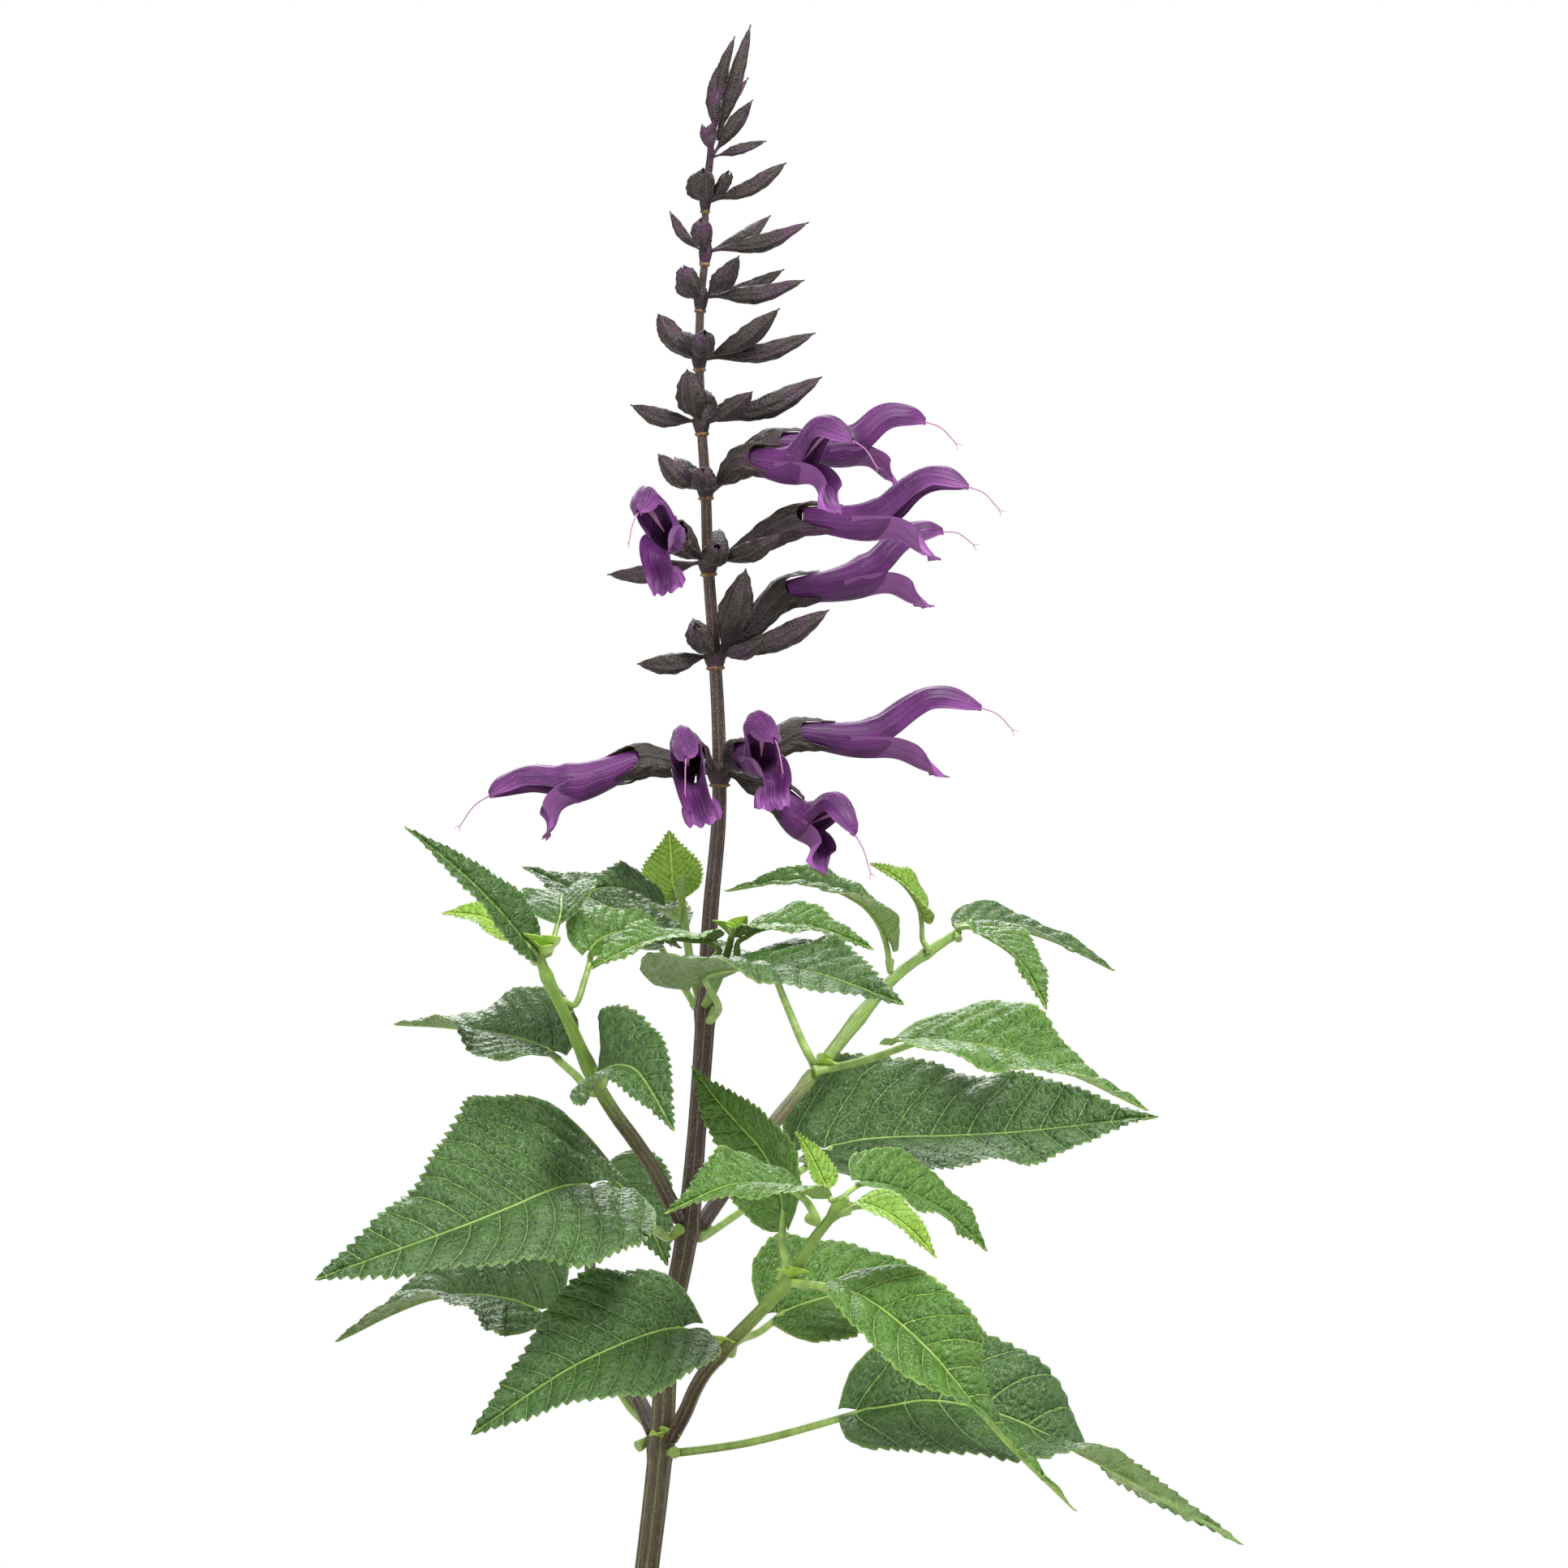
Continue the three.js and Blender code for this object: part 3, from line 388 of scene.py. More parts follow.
def leaf_material(name, face, deep, vein, underside, rough):
    """A wrinkled leaf: a midrib and side veins paler than the blade, painted shade darkening the creases beside the
    side veins, a fine net between, a pale underside.
    """
    n = Nodes(name)
    rib, side, along, across, under = (n.value(k) for k in ("rib", "side_vein", "flat_x", "flat_y", "under"))
    place = n.join(along, across, n.value("seed"))
    off = n.plus(n.sum("PINGPONG", side, 0.5), n.swing(n.noise(place, 0.5), 0.06))
    strong = n.sum("MAXIMUM", n.line(off, 0.015, 0.05), n.line(rib, 0.15, 0.55))
    net, fine = n.cells(place, 0.55), n.cells(place, 1.4)
    net_line = n.line(net, 0.0, 0.1)
    patch = n.noise(place, 0.09, 4.0)
    grain = n.noise(place, 1.6)
    top = n.mix(n.ease(patch, 0.25, 0.6, 0.3, 1.0), deep, face)
    # Painted shade: a darker band beside each side vein, where the quilted blade dips into its creases.
    top = n.mix(n.line(off, 0.05, 0.3, 0.55), top, deep)
    top = n.tint(top, 0.3, n.ease(grain, 0.35, 0.75), face)
    top = n.tint(top, 0.16, net_line, vein)
    top = n.tint(top, 0.8, strong, vein)
    bottom = n.tint(underside, 0.4, n.ease(patch, 0.2, 0.8), face)
    bottom = n.tint(bottom, 0.5, n.sum("MAXIMUM", strong, n.times(net_line, 0.5)), vein)
    colour = n.mix(under, n.tint(top, 0.6, n.value("rim"), vein), bottom)
    height = n.sum("SUBTRACT", n.ease(net, 0.0, 0.42), n.times(strong, 1.1))
    height = n.plus(height, n.times(n.ease(fine, 0.0, 0.4), 0.28))
    height = n.times(height, n.sum("SUBTRACT", 1.0, n.times(under, 1.7)))
    gloss = n.plus(n.times(n.line(fine, 0.0, 0.12), 0.3), grain)
    roughness = n.ease(gloss, 0.2, 1.1, rough - 0.06, rough + 0.16)
    return n.finish(colour, roughness, n.bump(height, 0.0004, 0.95), Specular_IOR_Level=0.42)


def stem_material():
    """Square stem: purple-brown on old wood, green on young, with pale flecks along it."""
    n = Nodes("stem_skin")
    tone, along, round_ = n.value("tone"), n.value("flat_x"), n.value("flat_y")
    place = n.place()
    streak = n.noise(n.join(n.times(along, 0.12), n.times(round_, 3.0)), 2.2, 4.0)
    flecks = n.noise(place, 2600.0, 2.0)
    blotch = n.noise(place, 120.0, 4.0)
    brown = n.between(streak, (0.022, 0.01, 0.009), (0.075, 0.038, 0.03))
    olive = n.between(streak, (0.055, 0.042, 0.018), (0.115, 0.095, 0.036))
    green = n.between(streak, (0.13, 0.25, 0.03), (0.26, 0.43, 0.06))
    low = n.between(n.plus(tone, n.swing(blotch, 0.3)), brown, olive, 0.1, 0.5)
    colour = n.between(n.plus(tone, n.swing(blotch, 0.25)), low, green, 0.5, 0.9)
    colour = n.tint(colour, 0.35, n.ease(flecks, 0.6, 0.72), (0.55, 0.47, 0.42))
    ridge = n.line(n.sum("PINGPONG", round_, 0.5), 0.0, 0.22)
    pale = n.mix(tone, (0.3, 0.22, 0.16), (0.42, 0.6, 0.18))
    colour = n.tint(colour, n.ease(streak, 0.3, 0.65, 0.15, 0.5), ridge, pale)
    height = n.plus(n.plus(streak, ridge), n.times(flecks, 0.5))
    return n.finish(colour, n.ease(blotch, 0.2, 0.8, 0.34, 0.5), n.bump(height, 0.00016, 0.8), Specular_IOR_Level=0.5)


def petal_material():
    """Violet petal: darker along its veins; towards the hood's end and over the lip, most at their edges, a painted
    highlight and sheen makes it paler and redder, so the tube keeps the darker violet.
    """
    n = Nodes("petal_skin")
    place = n.place()
    wave = n.swing(n.noise(place, 260.0), 1.2)
    vein = n.line(n.sum("PINGPONG", n.plus(n.value("flat_y"), wave), 0.5), 0.02, 0.2)
    cloud = n.noise(place, 150.0, 4.0)
    velvet_grain_and_sheen = n.noise(place, 5200.0, 2.0)
    colour = n.between(cloud, (0.052, 0.004, 0.065), (0.115, 0.012, 0.13))
    # Painted highlight and sheen: the pale mask lightens the hood's end, the lip and their edges.
    colour = n.between(n.plus(n.value("pale"), n.times(cloud, 0.3)), colour, (0.26, 0.07, 0.29), 0.35, 1.25)
    colour = n.tint(colour, 0.5, vein, (0.04, 0.004, 0.055))
    # Painted sheen: a fine lavender speckle for the velvet's glints; the same noise also raises the velvet pile in
    # the bump.
    colour = n.tint(colour, 0.22, n.ease(velvet_grain_and_sheen, 0.55, 0.8), (0.42, 0.18, 0.46))
    colour = n.tint(colour, 0.3, n.value("under"), (0.4, 0.15, 0.42))
    height = n.plus(n.times(velvet_grain_and_sheen, 0.5), n.times(vein, -0.7))
    return n.finish(
        colour, n.ease(cloud, 0.2, 0.8, 0.42, 0.6), n.bump(height, 0.00012, 0.7),
        Specular_IOR_Level=0.4, Sheen_Weight=0.22, Sheen_Roughness=0.4, Sheen_Tint=(0.85, 0.55, 0.9, 1.0),
    )


def calyx_material():
    """Dark ribbed calyx, slate with purple blotches, olive and paler inside."""
    n = Nodes("calyx_skin")
    place = n.place()
    rib = n.line(n.sum("PINGPONG", n.value("flat_y"), 0.5), 0.0, 0.09)
    net = n.cells(place, 1100.0)
    cloud = n.noise(place, 330.0, 4.0)
    down = n.noise(place, 4200.0, 2.0)
    colour = n.between(cloud, (0.011, 0.007, 0.005), (0.038, 0.027, 0.02), 0.35, 0.7)
    blush = n.times(n.value("pale"), 0.7)
    colour = n.tint(colour, blush, n.ease(n.noise(place, 190.0), 0.42, 0.68), (0.1, 0.022, 0.1))
    colour = n.tint(colour, 0.45, rib, (0.14, 0.115, 0.085))
    colour = n.tint(colour, 0.2, n.line(net, 0.0, 0.1), (0.15, 0.14, 0.13))
    colour = n.tint(colour, 0.22, n.ease(down, 0.58, 0.78), (0.2, 0.17, 0.16))
    colour = n.tint(colour, 0.85, n.value("under"), (0.12, 0.085, 0.025))
    height = n.plus(n.times(down, 0.5), n.ease(net, 0.0, 0.3))
    return n.finish(colour, n.ease(cloud, 0.2, 0.8, 0.45, 0.68), n.bump(height, 0.00012, 0.7), Specular_IOR_Level=0.4)


def clay_material():
    n = Nodes("clay_body")
    place = n.place()
    cloud = n.noise(place, 28.0, 5.0, 0.6)
    grain = n.noise(place, 900.0, 4.0, 0.65)
    band = n.noise(n.stretched(place, 30.0), 5.0)
    bloom = n.noise(place, 55.0, 6.0, 0.7)
    height = n.node("SeparateXYZ", {0: place}).outputs[2]
    colour = n.between(cloud, (0.42, 0.16, 0.085), (0.56, 0.245, 0.135))
    colour = n.tint(colour, 0.15, n.ease(band, 0.4, 0.7), (0.6, 0.3, 0.18))
    colour = n.tint(colour, n.ease(height, 0.14, 0.02, 0.15, 0.6), n.ease(bloom, 0.52, 0.72), (0.66, 0.52, 0.43))
    colour = n.tint(colour, 0.12, n.ease(grain, 0.6, 0.8), (0.3, 0.13, 0.075))
    relief = n.plus(n.times(grain, 0.5), band)
    return n.finish(colour, n.ease(cloud, 0.2, 0.8, 0.78, 0.94), n.bump(relief, 0.00018, 0.5), Specular_IOR_Level=0.3)


def soil_material():
    n = Nodes("compost")
    place = n.place()
    lump = n.noise(place, 240.0, 5.0, 0.65)
    speck = n.noise(place, 1300.0)
    colour = n.between(lump, (0.018, 0.011, 0.008), (0.075, 0.046, 0.03), 0.35, 0.7)
    colour = n.tint(colour, 0.5, n.ease(speck, 0.64, 0.74), (0.2, 0.13, 0.08))
    return n.finish(colour, 0.95, n.bump(n.plus(lump, speck), 0.0008, 0.9), Specular_IOR_Level=0.2)


def grainy(name, scale, detail, dark, pale, rough, contrast=(), relief=(), stretch=0.0, **constants):
    """A material of two colours mixed by one noise, which can be stretched upwards and can raise the surface."""
    n = Nodes(name)
    grain = n.noise(n.stretched(n.place(), stretch) if stretch else n.place(), scale, detail)
    colour = n.mix(n.ease(grain, *contrast) if contrast else grain, dark, pale)
    return n.finish(colour, rough, n.bump(grain, *relief) if relief else None, **constants)


MATURE = leaf_material(
    "leaf_mature", (0.06, 0.135, 0.03), (0.02, 0.058, 0.014), (0.21, 0.35, 0.09), (0.2, 0.3, 0.1), 0.36
)
BRIGHT = leaf_material(
    "leaf_bright", (0.085, 0.2, 0.026), (0.034, 0.095, 0.014), (0.29, 0.46, 0.09), (0.27, 0.4, 0.1), 0.36
)
YOUNG = leaf_material(
    "leaf_young", (0.24, 0.43, 0.04), (0.12, 0.27, 0.028), (0.45, 0.64, 0.12), (0.42, 0.58, 0.1), 0.38
)
STEM, PETAL, CALYX = stem_material(), petal_material(), calyx_material()
HAIR = grainy("fine_hair", 900.0, 3.0, (0.62, 0.57, 0.53), (0.85, 0.8, 0.76), 0.5)
THREAD = grainy("style_thread", 700.0, 3.0, (0.32, 0.1, 0.26), (0.5, 0.24, 0.4), 0.45)
# The tan scar round the stem where a ring of calyces stands.
NODE_RING = grainy(
    "node_ring", 1600.0, 4.0, (0.09, 0.045, 0.02), (0.36, 0.22, 0.09), 0.6, (0.35, 0.7), (0.0001, 0.6)
)
GRIT = grainy("grit", 1500.0, 3.0, (0.55, 0.52, 0.47), (0.82, 0.8, 0.76), 0.9, relief=(0.0003, 0.7))
BARK = grainy(
    "bark_chip", 500.0, 4.0, (0.06, 0.03, 0.017), (0.2, 0.115, 0.06), 0.9, (0.35, 0.7), (0.0003, 0.8),
    stretch=9.0, Specular_IOR_Level=0.2,
)


# ---- Stems ----
def square_section(angle):
    """A soft square with a shallow groove down each face."""
    lobes = np.abs(np.cos(2 * angle)) ** 1.4
    return 0.86 + 0.15 * lobes - 0.03 * np.cos(8 * angle)


def centreline(node):
    """A stem's centre line, its radius at the corners, the way to one corner, and its tip."""
    rings, _, tip = lofted(node)
    centres = np.array([ring.mean(0) for ring in rings])
    corner = np.array([np.linalg.norm(r - r.mean(0), axis=1).max() for r in rings])
    first = rings[0] - rings[0].mean(0)
    start = first[np.argmax(np.linalg.norm(first, axis=1))]
    return centres, corner, start, tip


stem_lines = {}


def leaflets(shape, centre, ways, size, slot):
    """Tiny folded leaves opening at a node."""
    u, v = np.meshgrid(np.linspace(0, 1, 11), np.linspace(-1, 1, 9), indexing="ij")
    for way in ways:
        way = unit(np.asarray(way, float))
        side = unit(np.cross(way, UP + 0.3))
        rise = np.cross(side, way)
        rise = rise * (1 if rise[2] > 0 else -1)
        wide = 0.34 * size * np.sin(np.pi * u**0.75) * (1 + 0.06 * np.sin(u * 60))
        spine = centre + way * (u * size)[..., None]
        place = laid(spine, side, v * wide, rise, wide * np.abs(v) * 0.7 - 0.25 * size * u**2)
        shape.sheet(place, 0.22 * MM, slot=slot)


NODE_TUFTS = {
    "main_stem": [((8, -2, 177), [(0.9, -0.8, 0.5), (-0.7, -0.9, 0.5), (0.3, -1, 0.9)], 5.5)],
    "branch_low_right": [
        ((21, -23, 199), [(-0.5, -0.7, 0.9), (0.7, -0.8, 0.6), (-0.9, -0.5, 0.4)], 5.0),
        ((36, -38, 215), [(-0.6, -0.7, 0.7), (0.8, -0.6, 0.6), (0.1, -0.8, 0.8)], 5.5),
    ],
    "branch_mid_right": [((43, 33, 258), [(0.2, -0.7, 0.9), (0.8, -0.6, 0.3)], 5.0)],
    "branch_mid_left": [((-18, -44, 285), [(-0.4, -0.6, 0.9), (0.6, -0.6, 0.8), (0.1, -0.9, 0.5)], 8.0)],
    "shoot_high_front": [((23, -15, 288), [(0.5, -0.4, 1), (-0.6, -0.5, 0.9), (0.1, -0.9, 0.6)], 7.0)],
}


def stem_piece(node, tones, hair_count, spacing, seed, foot_reach=0.0):
    """A square stem with swollen nodes, its skin toned from foot to tip, and fine hairs."""
    rng = np.random.default_rng(seed)
    centres, radii, start, tip = centreline(node)
    keep = np.concatenate([[True], np.linalg.norm(np.diff(centres, axis=0), axis=1) > 0.3 * MM])
    centres, radii = centres[keep], radii[keep]
    if foot_reach:
        back = unit(centres[0] - centres[1])
        centres = np.concatenate([[centres[0] + back * foot_reach], centres])
        radii = np.concatenate([[radii[0]], radii])
    centres = np.concatenate([centres, [tip]])
    radii = np.concatenate([radii, [radii[-1] * 0.55]])
    at = lengths_along(centres)
    count = int(at[-1] / spacing) + 2
    where = np.linspace(0, at[-1], count)
    path = hermite(at, centres, where)
    radius = np.interp(where, at, radii)
    share = where / at[-1]
    tone = np.interp(share, *tones)
    shape = Shape(("tone", "flat_x", "flat_y"))
    sides = 24
    surface = shape.tube(
        path, radius, sides, start=start, section=square_section, tone=tone, flat_x=where / MM
    )
    turn = np.tile(np.abs(np.linspace(-4, 4, sides, endpoint=False)), count)
    shape.attributes["flat_y"][-3] = turn
    rows = rng.integers(1, count - 1, hair_count)
    columns = rng.integers(0, sides, hair_count)
    blend = rng.uniform(0, 1, (hair_count, 1))
    roots = surface[rows, columns] * (1 - blend) + surface[rows + 1, columns] * blend
    hairs(shape, roots, roots - path[rows], 0.42 * MM, 0.022 * MM, rng, slot=1, tone=0.0)
    stem_lines[node] = (path, radius)
    for centre, ways, size in NODE_TUFTS.get(node, []):
        leaflets(shape, np.array(centre) * MM, ways, size * MM, 2)
    shape.build(node + "_skin", [STEM, HAIR, YOUNG], node)


stem_piece(
    "main_stem", ([0, 0.1, 0.2, 0.3, 0.36, 0.6, 1], [0.35, 0.42, 0.4, 0.25, 0.2, 0.05, 0.0]),
    9500, 1.3 * MM, 1,
)
BRANCH_TONES = {
    "branch_low_right": ([0, 0.25, 0.6, 1], [0.15, 0.4, 0.85, 0.95]),
    "branch_low_left": ([0, 1], [0.1, 0.5]),
    "branch_mid_right": ([0, 0.2, 0.55, 1], [0.05, 0.35, 0.8, 1.0]),
    "branch_mid_left": ([0, 0.2, 0.6, 1], [0.05, 0.4, 0.8, 1.0]),
    "shoot_high_back": ([0, 1], [0.9, 1.0]),
    "shoot_high_front": ([0, 1], [0.9, 1.0]),
}
for number, (node, tones) in enumerate(BRANCH_TONES.items()):
    stem_piece(node, tones, 1000, 1.1 * MM, 20 + number, foot_reach=2.2 * MM)


# ---- Leaves ----
def blade_of(node):
    """A CAD leaf's stalk points, its midrib, width and face directions, half width, fold and stalk radius."""
    rings, foot, tip = lofted(node)
    stalk = np.array([foot] + [ring.mean(0) for ring in rings[:3]])
    middle, across, face, lift, half = [], [], [], [], []
    for ring in rings[3:9]:
        spans = [np.linalg.norm(ring[i] - ring[i + 4]) for i in range(4)]
        i = int(np.argmax(spans))
        left, right = ring[i], ring[(i + 4) % 8]
        centre = (ring[(i + 2) % 8] + ring[(i + 6) % 8]) / 2
        side = unit(left - right)
        rise = (left + right) / 2 - centre
        middle.append(centre)
        across.append(side)
        face.append(unit(rise))
        lift.append(np.linalg.norm(rise))
        half.append(spans[i] / 2)
    for k in range(1, len(across)):
        if np.dot(across[k], across[k - 1]) < 0:
            across[k] = -across[k]
    middle = np.array([stalk[-1], *middle, tip])
    across = np.array([across[0], *across, across[-1]])
    face = np.array([face[0], *face, face[-1]])
    thick = np.linalg.norm((rings[0] - rings[0].mean(0))[0])
    return stalk, middle, across, face, max(half), max(lift) / max(half), thick


def leaf_piece(
    node, material, seed, slot, teeth, waves, pucker, lobe=0.13, squeeze=0.0, twist=0.0
):
    """A toothed, wrinkled blade on its stalk, with a raised midrib running below it to the tip."""
    rng = np.random.default_rng(seed)
    stalk, middle, across, face, half, fold, thick = blade_of(node)
    teeth = int(teeth * 1.15)
    rows, columns = teeth * 3 + 1, 33
    u = np.linspace(0, 1, rows) ** 1.04
    spine = hermite(BLADE_STATIONS, middle, u)
    side = unit(hermite(BLADE_STATIONS, across, u))
    along = unit(np.gradient(spine, axis=0))
    side = unit(side - (side * along).sum(1, keepdims=True) * along)
    rise = np.cross(side, along)
    rise *= np.sign((rise * hermite(BLADE_STATIONS, face, u)).sum(1, keepdims=True))
    turn = (twist * smoothstep(0.35, 0.72, u))[:, None]
    side, rise = side * np.cos(turn) + rise * np.sin(turn), rise * np.cos(turn) - side * np.sin(turn)
    length = lengths_along(spine)[-1]
    v = np.linspace(-1, 1, columns)
    v = np.sign(v) * np.abs(v) ** 0.9
    V, U = np.meshgrid(v, u)
    A = np.abs(V)
    outline = half * hermite(OUTLINE_AT, np.array(OUTLINE)[:, None], u)[:, 0].clip(0)
    outline = outline * (1 + 0.04 * np.sin(u * 9 + rng.uniform(0, 6))) * (1 - squeeze * smoothstep(0.38, 0.62, u))

    saw = np.array([-0.6, 0.35, 1.0])[np.arange(rows) % 3]
    saw = saw * rng.uniform(0.75, 1.25, teeth + 1)[np.arange(rows) // 3]
    bite = max(TOOTH_SHARE * half, 0.42 * MM) * saw * smoothstep(0.0, 0.08, u) * (1 - smoothstep(0.93, 1.0, u) * 0.9)
    near_edge = smoothstep(0.86, 1.0, A)
    width = V * outline[:, None] + np.sign(V) * near_edge * bite[:, None]
    forward = near_edge * bite[:, None] * 0.5
    forward -= lobe * length * A**1.7 * np.exp(-U / 0.13)

    flat_x, flat_y, reach = U * length + forward, width, np.abs(width)
    phi = (flat_x - 0.5 * reach - 0.42 * reach**2 / half) / length
    side_vein = phi * SIDE_VEINS + 0.35
    between = np.abs(np.sin(np.pi * side_vein))
    inward = smoothstep(0.0, 0.25, A) * (1 - smoothstep(0.9, 1.0, A) * 0.8) * smoothstep(0, 0.1, 1 - U)
    cross_net = np.sin(reach / MM * 1.5 + side_vein * 2.2 + np.sin(flat_x / MM * 0.7 + seed))
    bulge = np.clip(length / SIDE_VEINS / (7 * MM), 0.5, 1.1)
    wrinkle = pucker * bulge * MM * inward * (1.3 * between**0.6 * (1.0 + 0.16 * cross_net) - 0.7)
    groove = -0.35 * MM * pucker * np.exp(-((reach / (0.55 * MM)) ** 2))
    lift = half * fold * np.minimum(outline / half, 1)[:, None] * (1.5 * A - 0.5 * A**2)
    full = np.minimum(outline / half * 1.3, 1)[:, None]
    wave = waves * half * A**2.2 * np.sin(U * (9 + 4 * rng.random()) + V * 1.4 + rng.uniform(0, 6)) * full
    wave = wave + 0.35 * waves * half * A**3 * np.sin(U * 27 + V * 2 + rng.uniform(0, 6)) * full
    tilt = waves * 0.7 * half * V * np.sin(U * 3.1 + rng.uniform(0, 6)) * full
    height = lift + wrinkle + groove + wave + tilt
    slid = spine[:, None] + along[:, None] * forward[..., None]
    surface = laid(slid, side[:, None], width, rise[:, None], height)
    if np.mean((grid_normals(surface)[rows // 3] * rise[rows // 3]).sum(-1)) < 0:
        surface, flat_x, flat_y, side_vein, reach, A = (
            x[:, ::-1] for x in (surface, flat_x, flat_y, side_vein, reach, A)
        )
    shape = Shape(("rib", "side_vein", "flat_x", "flat_y", "under", "seed", "rim", "tone"))
    thickness = (0.2 + 0.12 * (1 - A)) * MM
    shape.sheet(
        surface, thickness, rib=reach.ravel() / MM, side_vein=side_vein.ravel(),
        flat_x=flat_x.ravel() / MM, flat_y=flat_y.ravel() / MM, seed=float(seed * 7.3),
        rim=smoothstep(0.955, 1.0, A).ravel(),
    )
    foot = stalk[0] + unit(stalk[0] - stalk[1]) * 2.4 * MM
    ends = np.concatenate([[foot], stalk[:3], [stalk[3] - rise[0] * 0.5 * MM]])
    petiole = resampled(ends, max(10, int(lengths_along(ends)[-1] / (0.9 * MM))))
    rib_rows = np.arange(2, rows - 4, 3)
    rib_path = spine[rib_rows] - rise[rib_rows] * (0.35 + 0.35 * (1 - u[rib_rows]))[:, None] * MM
    path = np.concatenate([petiole, rib_path])
    radii = np.concatenate([
        np.linspace(thick * 1.12, thick * 0.86, len(petiole)),
        thick * 0.72 * (1 - u[rib_rows]) ** 1.1 * 0.9 + 0.06 * MM,
    ])
    radii[:3] *= [1.35, 1.25, 1.1]
    surface_tube = shape.tube(path, radii, 12, slot=1, tone=STALK_TONE, flat_x=lengths_along(path) / MM)
    hair_count = int(140 + 20 * length / (10 * MM))
    rows_at = rng.integers(0, len(petiole), hair_count)
    roots = surface_tube[rows_at, rng.integers(0, 12, hair_count)]
    hairs(shape, roots, roots - path[rows_at], 0.35 * MM, 0.018 * MM, rng, slot=2)
    edge_rows = rng.integers(2, rows - 2, hair_count)
    sides_at = rng.integers(0, 2, hair_count)
    roots = surface[edge_rows, np.where(sides_at, -1, 0)]
    inner = surface[edge_rows, np.where(sides_at, -3, 2)]
    hairs(shape, roots, roots - inner, 0.3 * MM, 0.015 * MM, rng, slot=2)
    shape.build(node + "_blade", [material, STEM, HAIR], node)


# Each leaf's blade, mature, bright or young, and its tooth count a side. The order sets the seeds.
BLADES = {"M": MATURE, "B": BRIGHT, "Y": YOUNG}
LEAVES = """
    low_right M30, low_left M28, mid_left M32, mid_right M32, low_left_tip M18, branch1_front M24,
    branch1_back B22, branch1_right B26, branch1_left B20, branch1_top_left B20, tip1_up Y14, tip1_right B18,
    tip1_front Y15, branch2_right B26, branch2_back M22, branch2_top_left B20, branch2_top_right M18,
    tip2_up Y16, tip2_right B18, branch3_right M24, branch3_left M24, branch3_top_left M20,
    branch3_top_right B18, tip3_left Y15, tip3_right M18, high_back M20, high_front M24, shoot_left M18,
    shoot_up Y15, shoot_front_left B18, shoot_front_right B18
"""
SHAPED = {
    "branch1_right": {"squeeze": 0.45, "twist": 0.8}, "low_right": {"squeeze": 0.4, "lobe": 0.08, "twist": 1.9},
    "mid_left": {"lobe": 0.2}, "mid_right": {"lobe": 0.16}, "branch2_right": {"twist": 0.35},
    "branch3_left": {"twist": 0.5}, "high_front": {"twist": -0.4}, "shoot_up": {"lobe": 0.3},
    "low_left": {"twist": 0.6},
}
for number, entry in enumerate(LEAVES.split(",")):
    name, blade = entry.split()
    young = blade[0] == "Y"
    leaf_piece(
        "leaf_" + name, BLADES[blade[0]], 100 + number, "young_leaf" if "tip" in name or "shoot" in name else "leaf",
        int(blade[1:]), pucker=0.4 if young else 0.85, waves=0.07 if young else 0.13, **SHAPED.get(name, {}),
    )


# ---- Flowers ----
def turned(vector, axis, angle):
    axis = unit(axis)
    return (
        vector * math.cos(angle)
        + np.cross(axis, vector) * math.sin(angle)
        + axis * np.dot(axis, vector) * (1 - math.cos(angle))
    )


def corolla_marks(node):
    """A CAD flower's foot, throat, hood centre, hood tip, lip tip, style bend and end, and its side direction."""
    points, near = merged(node)
    eights = [i for i, n in enumerate(near) if len(n) == 8]
    lift = {i: np.linalg.norm(points[list(near[i])].mean(0) - points[i]) for i in eights}
    base = min(eights, key=lift.get)
    foot = points[base]
    lip = points[min((i for i in eights if lift[i] > 0.2 * MM), key=lambda i: points[i][2])]
    fours = [i for i, n in enumerate(near) if len(n) == 4]
    end_at = max(fours, key=lambda i: np.linalg.norm(points[i] - foot))
    style = rings_from(points, near, end_at, 2)
    end, bend = points[end_at], points[style[1]].mean(0)
    tip = (bend - 0.45 * end - np.array([0, 0, 1.0 * MM])) / 0.55
    rings = rings_from(points, near, base, 3)
    first, second = points[rings[1]].mean(0), points[rings[2]].mean(0)
    throat = second + (second - first) * 1.3
    side = unit(np.cross(tip - foot, lip - foot))
    rise = unit(np.cross(side, tip - foot))
    if np.dot(rise, lip - foot) > 0:
        side, rise = -side, -rise
    crown = points[np.argmax((points - foot) @ rise)]
    hood = crown - rise * 3.1 * MM
    hood = hood - side * np.dot(hood - foot, side)
    return foot, throat, hood, tip, lip, bend, end, side


